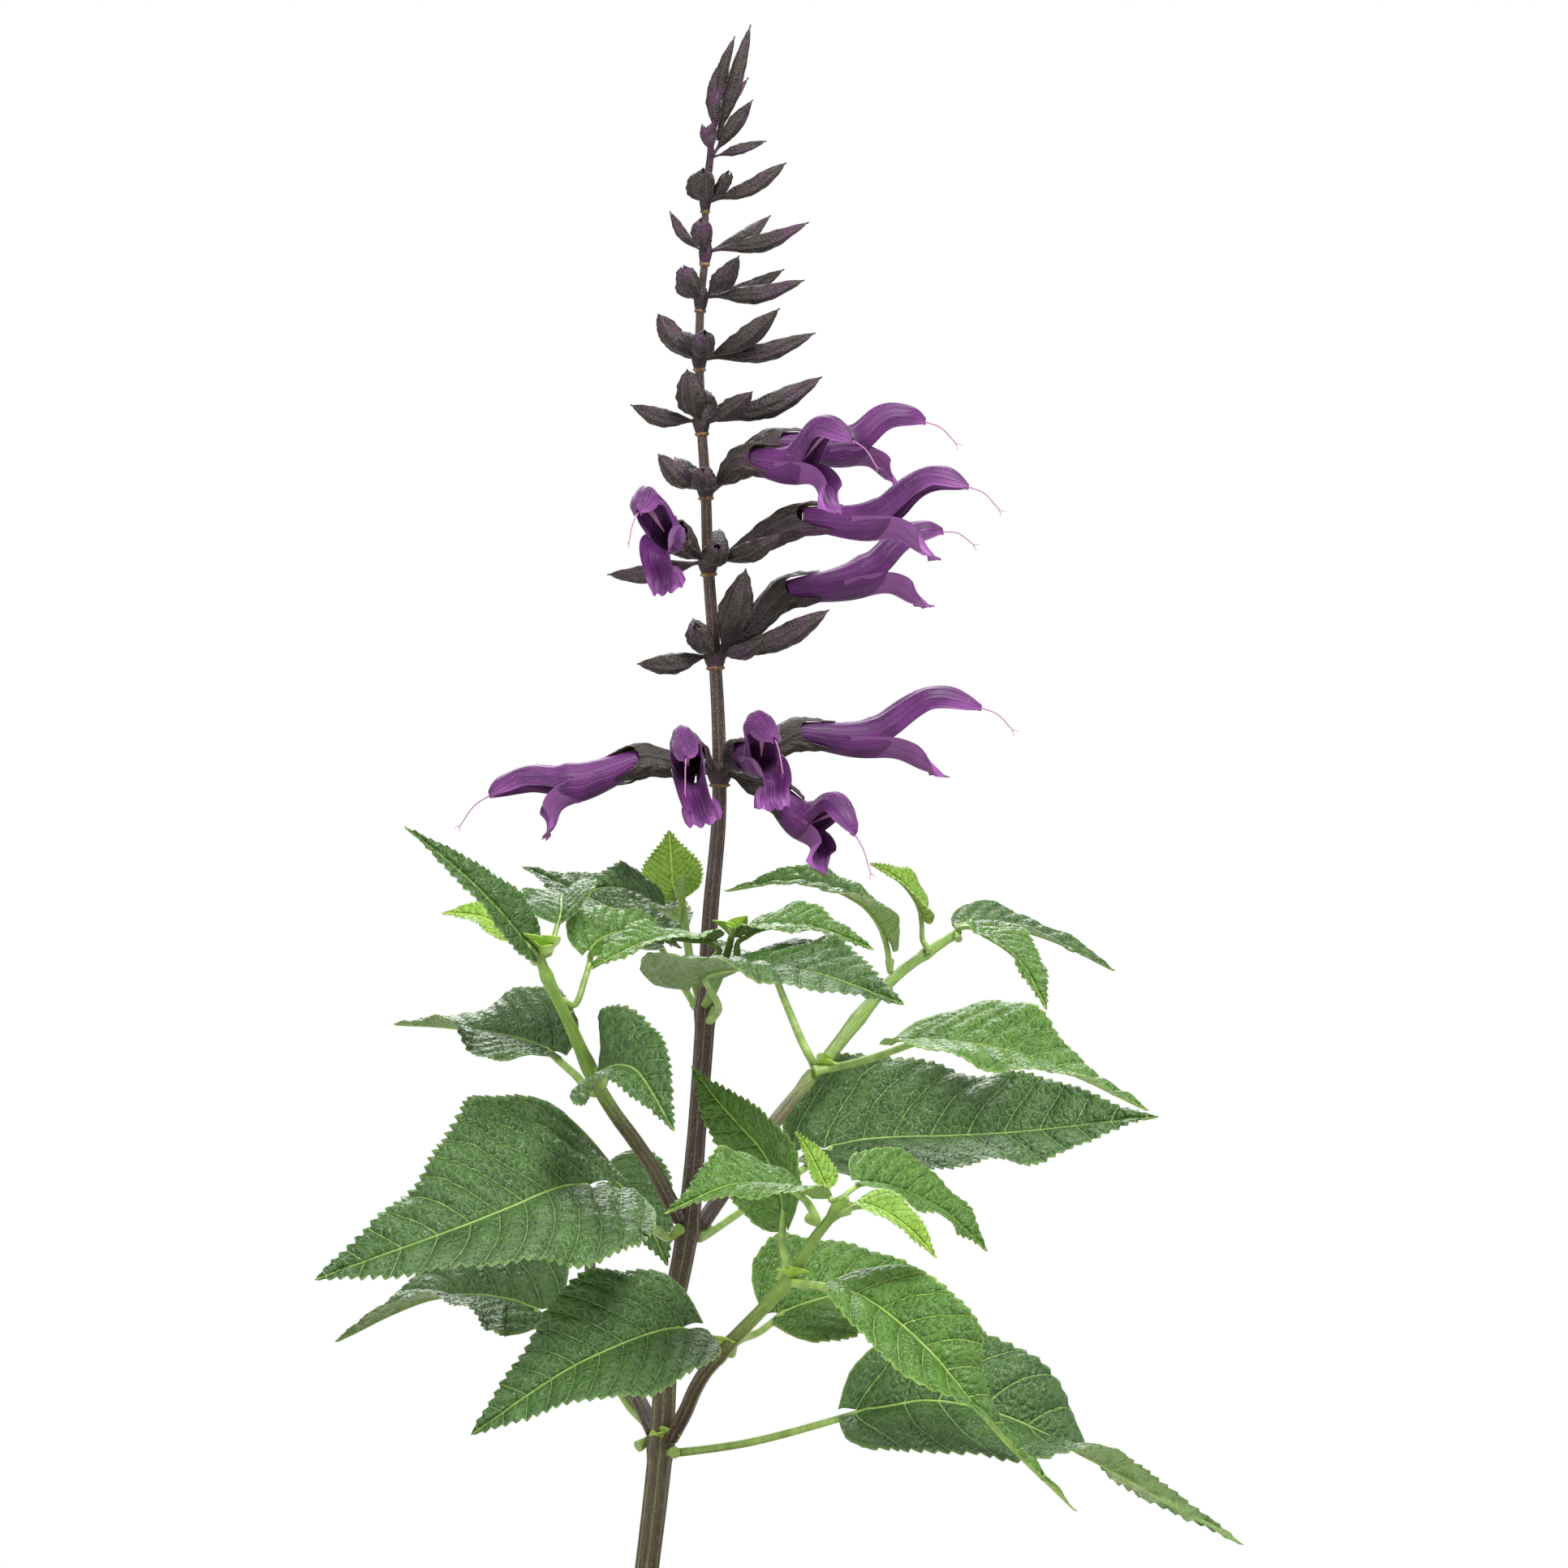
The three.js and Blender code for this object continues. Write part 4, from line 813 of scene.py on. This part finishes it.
def corolla_piece(node, seed):
    """Tube, arched hood, three-lobed lip and thread-like style of one open flower."""
    rng = np.random.default_rng(seed)
    foot, throat, hood, tip, lip, bend, end, side = corolla_marks(node)
    shape = Shape(("flat_x", "flat_y", "pale", "under"))
    line = np.array([foot, throat, hood, tip])
    at = lengths_along(line)
    marks = at / at[-1]
    rows, columns = 56, 31
    t = np.linspace(0, 1, rows)
    spine = hermite(marks, line, t)
    along = unit(np.gradient(spine, axis=0))
    rise = unit(np.cross(side, along))
    open_at, beak = marks[1:3]
    keys = [0, 0.3 * open_at, 0.6 * open_at, open_at, (open_at + beak) / 2, beak, (1 + beak) / 2, 0.96, 1]
    high = smoothed(np.interp(t, keys, [2.6, 3.2, 3.9, 4.8, 3.8, 3.3, 3.0, 2.0, 0.6]))
    wide = smoothed(np.interp(t, keys, [2.4, 2.8, 3.2, 3.7, 3.1, 2.7, 2.3, 1.4, 0.4]))
    reach = np.interp(t, [0, open_at * 0.82, open_at + 0.06, beak, 1], [1, 0.96, 0.62, 0.68, 0.66]) * np.pi
    T, Q = np.meshgrid(t, np.linspace(-1, 1, columns), indexing="ij")
    angle = Q * reach[:, None]
    crease = 1 + 0.035 * np.cos(angle * 9) * smoothstep(0.05, 0.4, T) * (1 - smoothstep(0.8, 1, T))
    pinch = 1 - 0.12 * np.cos(2 * angle) * smoothstep(open_at, beak, T)
    flare = smoothstep(open_at, open_at + 0.15, T) * np.abs(Q) ** 6 * 0.7
    h = (high * MM)[:, None] * crease
    w = (wide * MM)[:, None] * crease * pinch + flare * MM
    wobble = 0.18 * MM * np.sin(T * 23 + Q * 4 + rng.uniform(0, 6)) * smoothstep(0.3, 0.6, T)
    surface = laid(spine[:, None], side, np.sin(angle) * (w + wobble), rise[:, None], np.cos(angle) * (h + wobble))
    # The pale mask is painted highlight and sheen, growing towards the hood's end and out to its edges.
    pale = smoothstep(open_at, 1, T) * (0.35 + 0.65 * np.abs(Q) ** 3)
    shape.sheet(
        surface, 0.22 * MM, flat_x=T.ravel() * 40, flat_y=(angle * 2.6).ravel(), pale=pale.ravel()
    )

    bottom = -rise * (high * MM)[:, None]
    k0, k1 = (int(np.searchsorted(t, open_at * share)) for share in (0.6, 0.86))
    start, leave = spine[k0] + bottom[k0] * 0.94, spine[k1] + bottom[k1] * 0.95
    fall = lip - leave
    knee = leave + along[k1] * 2.2 * MM + fall * 0.18
    heel = leave + fall * 0.72 - along[k1] * 0.3 * MM
    sole = np.array([start, leave, knee, heel, lip + along[k1] * 0.5 * MM])
    lip_rows, lip_columns = 36, 25
    s_at = lengths_along(sole)
    s = np.linspace(0, 1, lip_rows)
    S, V = np.meshgrid(s, np.linspace(-1, 1, lip_columns), indexing="ij")
    A = np.abs(V)
    lobes = np.interp(A, [0, 0.12, 0.3, 0.48, 0.62, 0.8, 1.0], [0.07, 0.02, 0.0, 0.05, 0.1, 0.05, 0.17])
    place = S * (1 - lobes * S**2)
    centre = hermite(s_at, sole, place.ravel() * s_at[-1]).reshape(lip_rows, lip_columns, 3)
    middle = hermite(s_at, sole, s * s_at[-1])
    down = unit(np.gradient(middle, axis=0))
    face = unit(np.cross(side, down))
    breadth = smoothed(np.interp(s, [0, 0.35, 0.6, 0.78, 0.9, 1.0], [3.5, 3.6, 3.1, 3.2, 4.4, 4.3]) * MM)
    bowl = np.interp(s, [0, 0.35, 0.6, 0.8, 0.92, 1.0], [4.6, 4.8, 4.6, 3.8, 1.6, -0.4]) * MM
    ruffle = 0.35 * MM * np.sin(V * 9 + rng.uniform(0, 6)) * smoothstep(0.6, 1, S) * A
    fold = 0.5 * MM * np.exp(-((V / 0.16) ** 2)) * smoothstep(0.2, 0.5, S) * (1 - smoothstep(0.75, 1, S))
    lip_surface = laid(centre, side, V * breadth[:, None], face[:, None], A**2 * bowl[:, None] + ruffle + fold)
    # The lip's pale mask is painted sheen, growing towards the lip's end and its edges.
    shape.sheet(
        lip_surface, 0.2 * MM, flat_x=S.ravel() * 25, flat_y=(V * 3.5).ravel() + 0.5,
        pale=(smoothstep(0.3, 1.0, S) * (0.55 + 0.6 * A)).ravel(),
    )

    inner = hood + (tip - hood) * 0.35
    thread = resampled(np.array([throat, inner, tip - rise[-1] * 0.2 * MM, bend, end]), 46)
    shape.tube(thread, np.linspace(0.24, 0.13, 46) * MM, 7, slot=1)
    for turn in (0.55, -0.5):
        way = turned(unit(thread[-1] - thread[-3]), side, turn)
        fork = thread[-1] + way * np.linspace(0, 1.5 * MM, 6)[:, None]
        shape.tube(fork, np.linspace(0.12, 0.04, 6) * MM, 6, slot=1)
    for sideways in (-1, 1):
        bow, anther = inner + side * sideways * 0.7 * MM, tip + side * sideways * 0.5 * MM - rise[-1] * 0.7 * MM
        shape.tube(resampled(np.array([throat, bow, anther]), 20), 0.16 * MM, 6, slot=1)

    count = 320
    r = rng.integers(int(rows * 0.35), rows - 1, count)
    c = rng.integers(2, columns - 2, count)
    hairs(shape, surface[r, c], grid_normals(surface)[r, c], 0.38 * MM, 0.016 * MM, rng, slot=2, pale=1.0)
    shape.build(node + "_petals", [PETAL, THREAD, HAIR], node)
    return foot, throat, side


# ---- Calyces and buds ----
def calyx_shape(shape, path, radius, mouth, rng, wide=1.15, flat=0.85, up=UP, blush=0.0):
    """One ribbed calyx on its stalk. mouth is 0 for a shut, drawn-out bud and 1 for an open two-lipped cup."""
    rows, columns, ribs = 27, 36, 9
    line = resampled(np.asarray(path), 60)
    share = np.linspace(0, 1, 60)
    angle = np.linspace(-np.pi, np.pi, columns, endpoint=False)
    along = unit(np.gradient(line, axis=0))
    side = unit(np.cross(along, up))
    rise = np.cross(side, along)
    top = np.exp(-((angle / 0.55) ** 2))
    low = np.exp(-(((np.abs(angle) - 2.45) / 0.42) ** 2))
    teeth = np.maximum(top, low * 0.86)
    rim = 1 - (0.01 + 0.3 * mouth) * (1 - teeth)
    s = np.linspace(0, 1, rows)
    place = s[:, None] * rim[None]
    keys = [0, 0.12, 0.2, 0.34, 0.52, 0.72, 0.88, 1.0]
    shut = [0.26, 0.22, 0.46, 0.84, 1.0, 0.8, 0.4, 0.05]
    cup = [0.26, 0.22, 0.4, 0.64, 0.8, 0.93, 1.03, 1.08]
    profile = np.array(shut) * (1 - mouth) + np.array(cup) * mouth
    r = hermite(keys, profile[:, None], place.ravel())[:, 0].reshape(rows, columns) * radius
    body = smoothstep(0.16, 0.3, place)
    ridges = (np.abs(np.cos(angle * ribs / 2)) ** 3 - 0.4)[None]
    ribbing = 1 + 0.1 * body * ridges * (1 - smoothstep(0.85, 1, place) * 0.6)
    seam = 1 - (1 - mouth) * 0.16 * np.exp(-(((np.abs(angle) - 1.5) / 0.16) ** 2))[None] * smoothstep(0.5, 0.8, place)
    lumps = 1 + 0.07 * body * np.sin(place * 9 + angle[None] * 2 + rng.uniform(0, 6))
    lumps = lumps + 0.06 * body * np.sin(place * 34 + 2.5 * np.cos(angle * ribs)[None] + rng.uniform(0, 6))
    lumps = lumps * (1 - 0.1 * np.cos(angle * 4)[None] * body)
    closed, drawn_in = smoothstep(0.93, 1.0, s)[:, None], smoothstep(0.75, 1.0, s)[:, None]
    pinch = 1 - (1 - mouth) * closed * 0.97 - mouth * 0.2 * drawn_in * teeth[None]
    r = r * ribbing * seam * lumps * pinch
    centre, a, b = (
        np.stack([np.interp(place, share, x[:, k]) for k in range(3)], -1) for x in (line, side, rise)
    )
    surface = laid(centre, a, np.sin(angle)[None] * r * wide, b, np.cos(angle)[None] * r * flat)
    warm = np.clip(0.25 + 0.6 * smoothstep(0.45, 1, place) + rng.uniform(-0.2, 0.3) + blush, 0, 1.4)
    shape.sheet(
        surface, 0.2 * MM * smoothstep(-0.1, 0.2, s)[:, None] * np.ones((1, columns)), wrap=True,
        flat_x=place.ravel() * 20, flat_y=np.tile(angle * ribs / (2 * np.pi), rows), pale=warm.ravel(),
    )
    count = 240
    i = rng.integers(5, rows - 1, count)
    j = rng.integers(0, columns, count)
    roots = surface[i, j]
    hairs(shape, roots, roots - centre[i, j], 0.3 * MM, 0.014 * MM, rng, slot=1)


def shut_calyces(node):
    """The tip, two centres along the axis and the radius of each shut calyx in a CAD cluster."""
    points, near = merged(node)
    found = []
    for i, n in enumerate(near):
        if len(n) != 6:
            continue
        reach = np.linalg.norm(points[list(n)] - points[i], axis=1)
        lift = np.linalg.norm(points[list(n)].mean(0) - points[i])
        if reach.max() > reach.min() * 1.03 or lift < 0.8 * MM or lift < reach.mean() * 0.3:
            continue
        rings = rings_from(points, near, i, 2)
        if len(rings) < 2 or any(len(ring) != 6 for ring in rings):
            continue
        one, two = (points[ring] for ring in rings)
        found.append((points[i], one.mean(0), two.mean(0), np.linalg.norm(two - two.mean(0), axis=1).mean()))
    return found


stem_path, stem_radii = stem_lines["main_stem"]
flowers = {}
for number, node in enumerate(n for n in sorted(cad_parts) if n.startswith("corolla_")):
    flowers[node] = corolla_piece(node, 300 + number)

# The flowers that stand in the cups of each ring, counted from the lowest.
HELD = {
    1: "low_left low_front_left low_front_right low_under low_right", 2: "third_right",
    3: "second_right second_left", 4: "upper_back upper_front",
}


def collar(shape, centre):
    """The swelling of the stem under a ring of calyces, with the tan scar below it."""
    k = int(np.argmin(np.linalg.norm(stem_path - centre, axis=1)))
    bulge = np.array([1.0, 1.35, 1.6, 1.45, 1.02])
    rows = np.clip(np.arange(k - 2, k + 3), 0, len(stem_path) - 1)
    shape.tube(stem_path[rows], stem_radii[rows] * bulge + 0.1 * MM, 20, flat_x=0.0, flat_y=0.5, pale=0.9)
    low = stem_path[max(k - 2, 0)]
    edge = low + np.outer(np.linspace(-0.5, 0.5, 7), unit(stem_path[k] - low)) * MM
    shape.tube(edge, stem_radii[k] * np.array([1.0, 1.22, 1.36, 1.4, 1.36, 1.22, 1.0]), 28, slot=2)


def whorl_piece(number):
    """One ring of calyces round the stem: the shut ones, and the cups of the open flowers."""
    node = f"calyx_whorl_{number}"
    rng = np.random.default_rng(399 + number)
    shape = Shape(("flat_x", "flat_y", "pale", "under"))
    points, _ = merged(node)
    gap = np.linalg.norm(points[:, None] - stem_path[None], axis=2).min(1)
    centre = points[gap < stem_radii.max() * 0.9 + 0.4 * MM].mean(0)
    collar(shape, centre)
    at = int(np.argmin(np.linalg.norm(stem_path - centre, axis=1)))
    for tip, one, two, radius in shut_calyces(node):
        out = unit((two - centre) * [1, 1, 0])
        foot = centre + out * stem_radii[at] * 0.8
        length = np.linalg.norm(tip - foot)
        mouth = rng.uniform(0.25, 0.45) if length < 11.5 * MM else rng.uniform(0.0, 0.1)
        neck = foot + (two - foot) * 0.3 + out * 0.4 * MM
        calyx_shape(shape, [foot, neck, two, one, tip], radius * 1.02, mouth, rng)
    for name in HELD.get(number, "").split():
        foot, throat, side = flowers["corolla_" + name]
        out = unit((foot - centre) * [1, 1, 0])
        start = centre + out * stem_radii[at] * 0.8
        way = unit(throat - foot)
        bend = start + (foot - start) * 0.5
        mouth_at = foot + way * 8.5 * MM
        path = [start, bend, foot, foot + way * 4 * MM, mouth_at]
        calyx_shape(shape, path, 3.7 * MM, 1.0, rng, wide=1.0, flat=1.12, up=np.cross(side, way))
    shape.build(node + "_cups", [CALYX, HAIR, NODE_RING], node)


for number in range(1, 10):
    whorl_piece(number)


# Foot, tip and radius, in mm, of the slim buds that stand against the stem's end.
UPPER_BUDS = [
    ((19.2, -0.5, 465.5), (20.0, -3, 481.5), 1.5), ((19.2, 0.5, 465.5), (26.5, 4, 479), 1.4),
    ((19.4, -1, 470), (23.5, -2.5, 487.5), 1.5), ((18.4, -1, 461.5), (18.8, -3.4, 468.5), 1.2),
]


def tip_piece(node, seed):
    """The buds at the top of the spike, round a core that carries the stem on."""
    rng = np.random.default_rng(seed)
    shape = Shape(("flat_x", "flat_y", "pale", "under"))
    for tip, one, two, radius in shut_calyces(node):
        foot = two + (two - tip) * 1.2
        calyx_shape(shape, [foot, two, one, tip], radius * 0.85, 0.0, rng, blush=0.5)
    for foot, tip, radius in UPPER_BUDS:
        foot, tip = np.array(foot) * MM, np.array(tip) * MM
        middle = (foot + tip) / 2 + np.array([-0.8, 0, 0.6]) * MM
        calyx_shape(shape, [foot, (foot + middle) / 2, middle, tip], radius * MM, 0.0, rng, blush=0.8)
    end = stem_path[-1]
    above = [end + np.array(step) * MM for step in ((0.4, 0, 5), (1.4, 0, 9))]
    core = resampled(np.array([end - (end - stem_path[-4]), end, *above]), 14)
    shape.tube(core, np.linspace(0.9, 0.6, 14) * MM, 12, flat_y=0.5, pale=0.5)
    shape.build(node + "_cluster", [CALYX, HAIR], node)


tip_piece("tip_buds", 450)


# ---- Pot and soil ----
def ring_surface(profile, sides, ripple=0):
    """A turned surface from (radius, height) points, with an optional (rows, sides) change in radius."""
    angle = np.linspace(0, 2 * np.pi, sides, endpoint=False)
    radius = profile[:, :1] + ripple
    heights = np.broadcast_to(profile[:, 1:], (len(profile), sides))
    return np.stack([radius * np.cos(angle), radius * np.sin(angle), heights], -1)


def softened(corners, radius, step):
    """A closed (radius, height) outline with rounded corners, cut into short steps."""
    out = []
    count = len(corners)
    for k in range(count):
        before, here, after = (np.asarray(corners[(k + d) % count], float) for d in (-1, 0, 1))
        reach = min(radius, np.linalg.norm(before - here) * 0.45, np.linalg.norm(after - here) * 0.45)
        a, b = here + unit(before - here) * reach, here + unit(after - here) * reach
        for t in np.linspace(0, 1, 6):
            out.append((1 - t) ** 2 * a + 2 * t * (1 - t) * here + t * t * b)
    out.append(out[0])
    cut = []
    for a, b in zip(out[:-1], out[1:]):
        pieces = max(1, int(np.linalg.norm(b - a) / step))
        cut += [a + (b - a) * t / pieces for t in range(pieces)]
    return np.array(cut)


def pot_piece():
    """The clay pot on the CAD pot's own heights and radii, with throwing lines and a closed floor."""
    points, _ = merged("pot")
    reach = np.linalg.norm(points[:, :2], axis=1)
    height = points[:, 2]
    top = height.max()
    crown = reach[height > top - 0.05 * MM]
    middle = 43.5 * MM + ((crown.min() + crown.max()) / 2 - 45 * MM) * height / top
    levels = np.unique(np.round(height, 4))
    level = [np.abs(height - z) < 0.05 * MM for z in levels]
    outside = [(reach[at & (reach > middle)], z) for at, z in zip(level, levels)]
    inside = [(reach[at & (reach < middle) & (reach > 30 * MM)], z) for at, z in zip(level, levels)]
    corners = [(r.max(), z) for r, z in outside if len(r)]
    corners += [(r.min(), z) for r, z in inside[::-1] if len(r) and z > 0]
    floor_level = corners[-1][1]
    wall = softened([(1 * MM, 0.0), *corners, (1 * MM, floor_level)], 0.8 * MM, 2.0 * MM)
    last = int(np.argmax(np.linalg.norm(wall - [1 * MM, floor_level], axis=1) < 0.9 * MM))
    profile = wall[3 : last + 1]
    sides = 128
    angle = np.linspace(0, 2 * np.pi, sides, endpoint=False)
    lines = 0.07 * MM * np.sin(profile[:, 1] / MM * 2.1) + 0.05 * MM * np.sin(profile[:, 1] / MM * 0.73 + 1)
    drift = 0.12 * MM * np.sin(angle * 3 + 0.7) * np.sin(profile[:, 1:] * 40)
    away = smoothstep(30 * MM, 38 * MM, profile[:, 0])
    ripple = (lines[:, None] + drift) * away[:, None]
    surface = ring_surface(profile, sides, ripple)
    shape = Shape()
    shape.grid(surface, wrap=True, flip=True)
    for end in (0, -1):
        shape.cap(surface[end], surface[end].mean(0), end == 0)
    piece = shape.build("pot_body", [clay_material()], "pot")
    joined = bmesh.new()
    joined.from_mesh(piece.data)
    bmesh.ops.remove_doubles(joined, verts=joined.verts, dist=0.002 * MM)
    bmesh.ops.recalc_face_normals(joined, faces=joined.faces)
    joined.to_mesh(piece.data)
    joined.free()


def soil_piece(seed):
    """Lumpy compost filling the pot up to the CAD soil's level, with loose crumbs, grit and bark on top."""
    rng = np.random.default_rng(seed)
    points, _ = merged("soil")
    reach = np.linalg.norm(points[:, :2], axis=1)
    bottom, top = points[:, 2].min(), points[:, 2].max()
    wide = reach[points[:, 2] > top - 3 * MM].max()
    low_wide = reach[points[:, 2] < bottom + 0.5 * MM].max()
    rows, sides = 64, 160
    angle = np.linspace(0, 2 * np.pi, sides, endpoint=False)
    far = np.linspace(0.004, 1, rows) * wide
    x, y = far[:, None] * np.cos(angle), far[:, None] * np.sin(angle)
    lumps = np.zeros_like(x)
    for size, deep in ((26, 0.7), (11, 0.5), (5, 0.4), (2.6, 0.3)):
        for _ in range(5):
            way, phase = rng.uniform(0, 2 * np.pi), rng.uniform(0, 6.3)
            lumps += deep / 5 * np.sin((x * math.cos(way) + y * math.sin(way)) / MM * 2 * np.pi / size + phase)
    z = top - 1.3 * MM + lumps * 0.8 * MM - 0.8 * MM * smoothstep(0.9, 1, far / wide)[:, None]
    surface = np.stack([x, y, z], -1)
    side = np.stack([
        ring_surface(np.array([[r, level]]), sides)[0]
        for r, level in ((wide, top - 6 * MM), (low_wide, bottom), (0.05 * MM, bottom))
    ])
    shape = Shape()
    shape.grid(np.concatenate([surface, side]), wrap=True, flip=True)
    crumb = np.array([[1, 0, 0], [-1, 0, 0], [0, 1, 0], [0, -1, 0], [0, 0, 1], [0, 0, -1]], float)
    facets = [[0, 2, 4], [2, 1, 4], [1, 3, 4], [3, 0, 4], [2, 0, 5], [1, 2, 5], [3, 1, 5], [0, 3, 5]]
    for count, small, large, slot in ((3200, 0.5, 1.6, 0), (230, 0.6, 1.6, 1), (420, 0.8, 2.4, 2)):
        far = np.sqrt(rng.uniform(0.003, 0.93, count)) * wide
        turn = rng.uniform(0, 2 * np.pi, count)
        row = np.clip((far / wide * rows).astype(int), 0, rows - 1)
        ground = z[row, (turn / (2 * np.pi) * sides).astype(int) % sides]
        at = np.stack([far * np.cos(turn), far * np.sin(turn), ground + 0.15 * MM], -1)
        size = rng.uniform(small, large, (count, 1, 1)) * MM * rng.uniform(0.45, 1.0, (count, 6, 3))
        if slot == 2:
            size[:, :, 2] *= 0.35
        spin, _ = np.linalg.qr(rng.normal(size=(count, 3, 3)))
        body = np.einsum("nij,nvj->nvi", spin, crumb[None] * size) + at[:, None]
        body[..., 2] = np.minimum(body[..., 2], top - 0.05 * MM)
        faces = (np.arange(count)[:, None, None] * 6 + np.array(facets)).reshape(-1, 3)
        shape.add(body.reshape(-1, 3), faces, slot)
    shape.build("soil_bed", [soil_material(), GRIT, BARK], "soil", smooth=False)


pot_piece()
soil_piece(500)


# ---- View, light and floor ----
def studio():
    """The photo's view, a white surround, three soft lights and a pale floor."""
    scene = bpy.context.scene
    scene.view_settings.view_transform = "Standard"
    camera = bpy.data.objects.new("camera", bpy.data.cameras.new("camera"))
    scene.collection.objects.link(camera)
    camera.data.sensor_width = SENSOR_WIDTH
    camera.data.lens = SENSOR_WIDTH * VIEW_DISTANCE / VIEW_HEIGHT
    camera.data.clip_end = 20
    camera.location = (VIEW_CENTRE[0], -VIEW_DISTANCE, VIEW_CENTRE[2])
    camera.rotation_euler = (math.pi / 2, 0, 0)
    scene.camera = camera

    world = bpy.data.worlds.new("white")
    scene.world = world
    world.use_nodes = True
    tree = world.node_tree
    seen, glow = tree.nodes["Background"], tree.nodes.new("ShaderNodeBackground")
    for background, strength in ((seen, 1.0), (glow, 0.6)):
        background.inputs[0].default_value = (1, 1, 1, 1)
        background.inputs[1].default_value = strength
    rays = tree.nodes.new("ShaderNodeLightPath")
    either = tree.nodes.new("ShaderNodeMixShader")
    for k, source in enumerate((rays.outputs["Is Camera Ray"], glow.outputs[0], seen.outputs[0])):
        tree.links.new(source, either.inputs[k])
    tree.links.new(either.outputs[0], tree.nodes["World Output"].inputs[0])

    for name, place, size, power in (
        ("key", (0.45, -0.6, 1.25), 0.45, 17.0),
        ("fill", (-0.9, -0.9, 0.6), 0.7, 6.0),
        ("rim", (-0.1, 0.9, 1.0), 0.7, 12.0),
    ):
        light = bpy.data.lights.new(name, "AREA")
        light.size = size
        light.energy = power
        lamp = bpy.data.objects.new(name, light)
        scene.collection.objects.link(lamp)
        lamp.location = place
        aim = Vector(VIEW_CENTRE) - lamp.location
        lamp.rotation_euler = aim.to_track_quat("-Z", "Y").to_euler()

    bpy.ops.mesh.primitive_circle_add(vertices=96, radius=1.2, fill_type="TRIFAN", location=(0, 0, 0))
    floor = bpy.context.object
    floor.name = "floor"
    n = Nodes("pale_floor")
    place = n.place()
    away = n.node("VectorMath", {0: place}, operation="LENGTH").outputs["Value"]
    speck = n.noise(place, 60.0, 3.0)
    paper = n.tint((0.86, 0.86, 0.86), 0.3, speck, (0.82, 0.82, 0.82))
    n.finish(paper, 0.9, n.bump(speck, 0.0002, 0.3))
    n.put(n.shader.inputs["Alpha"], n.ease(away, 0.25, 1.1, 1.0, 0.0))
    floor.data.materials.append(n.material)


studio()
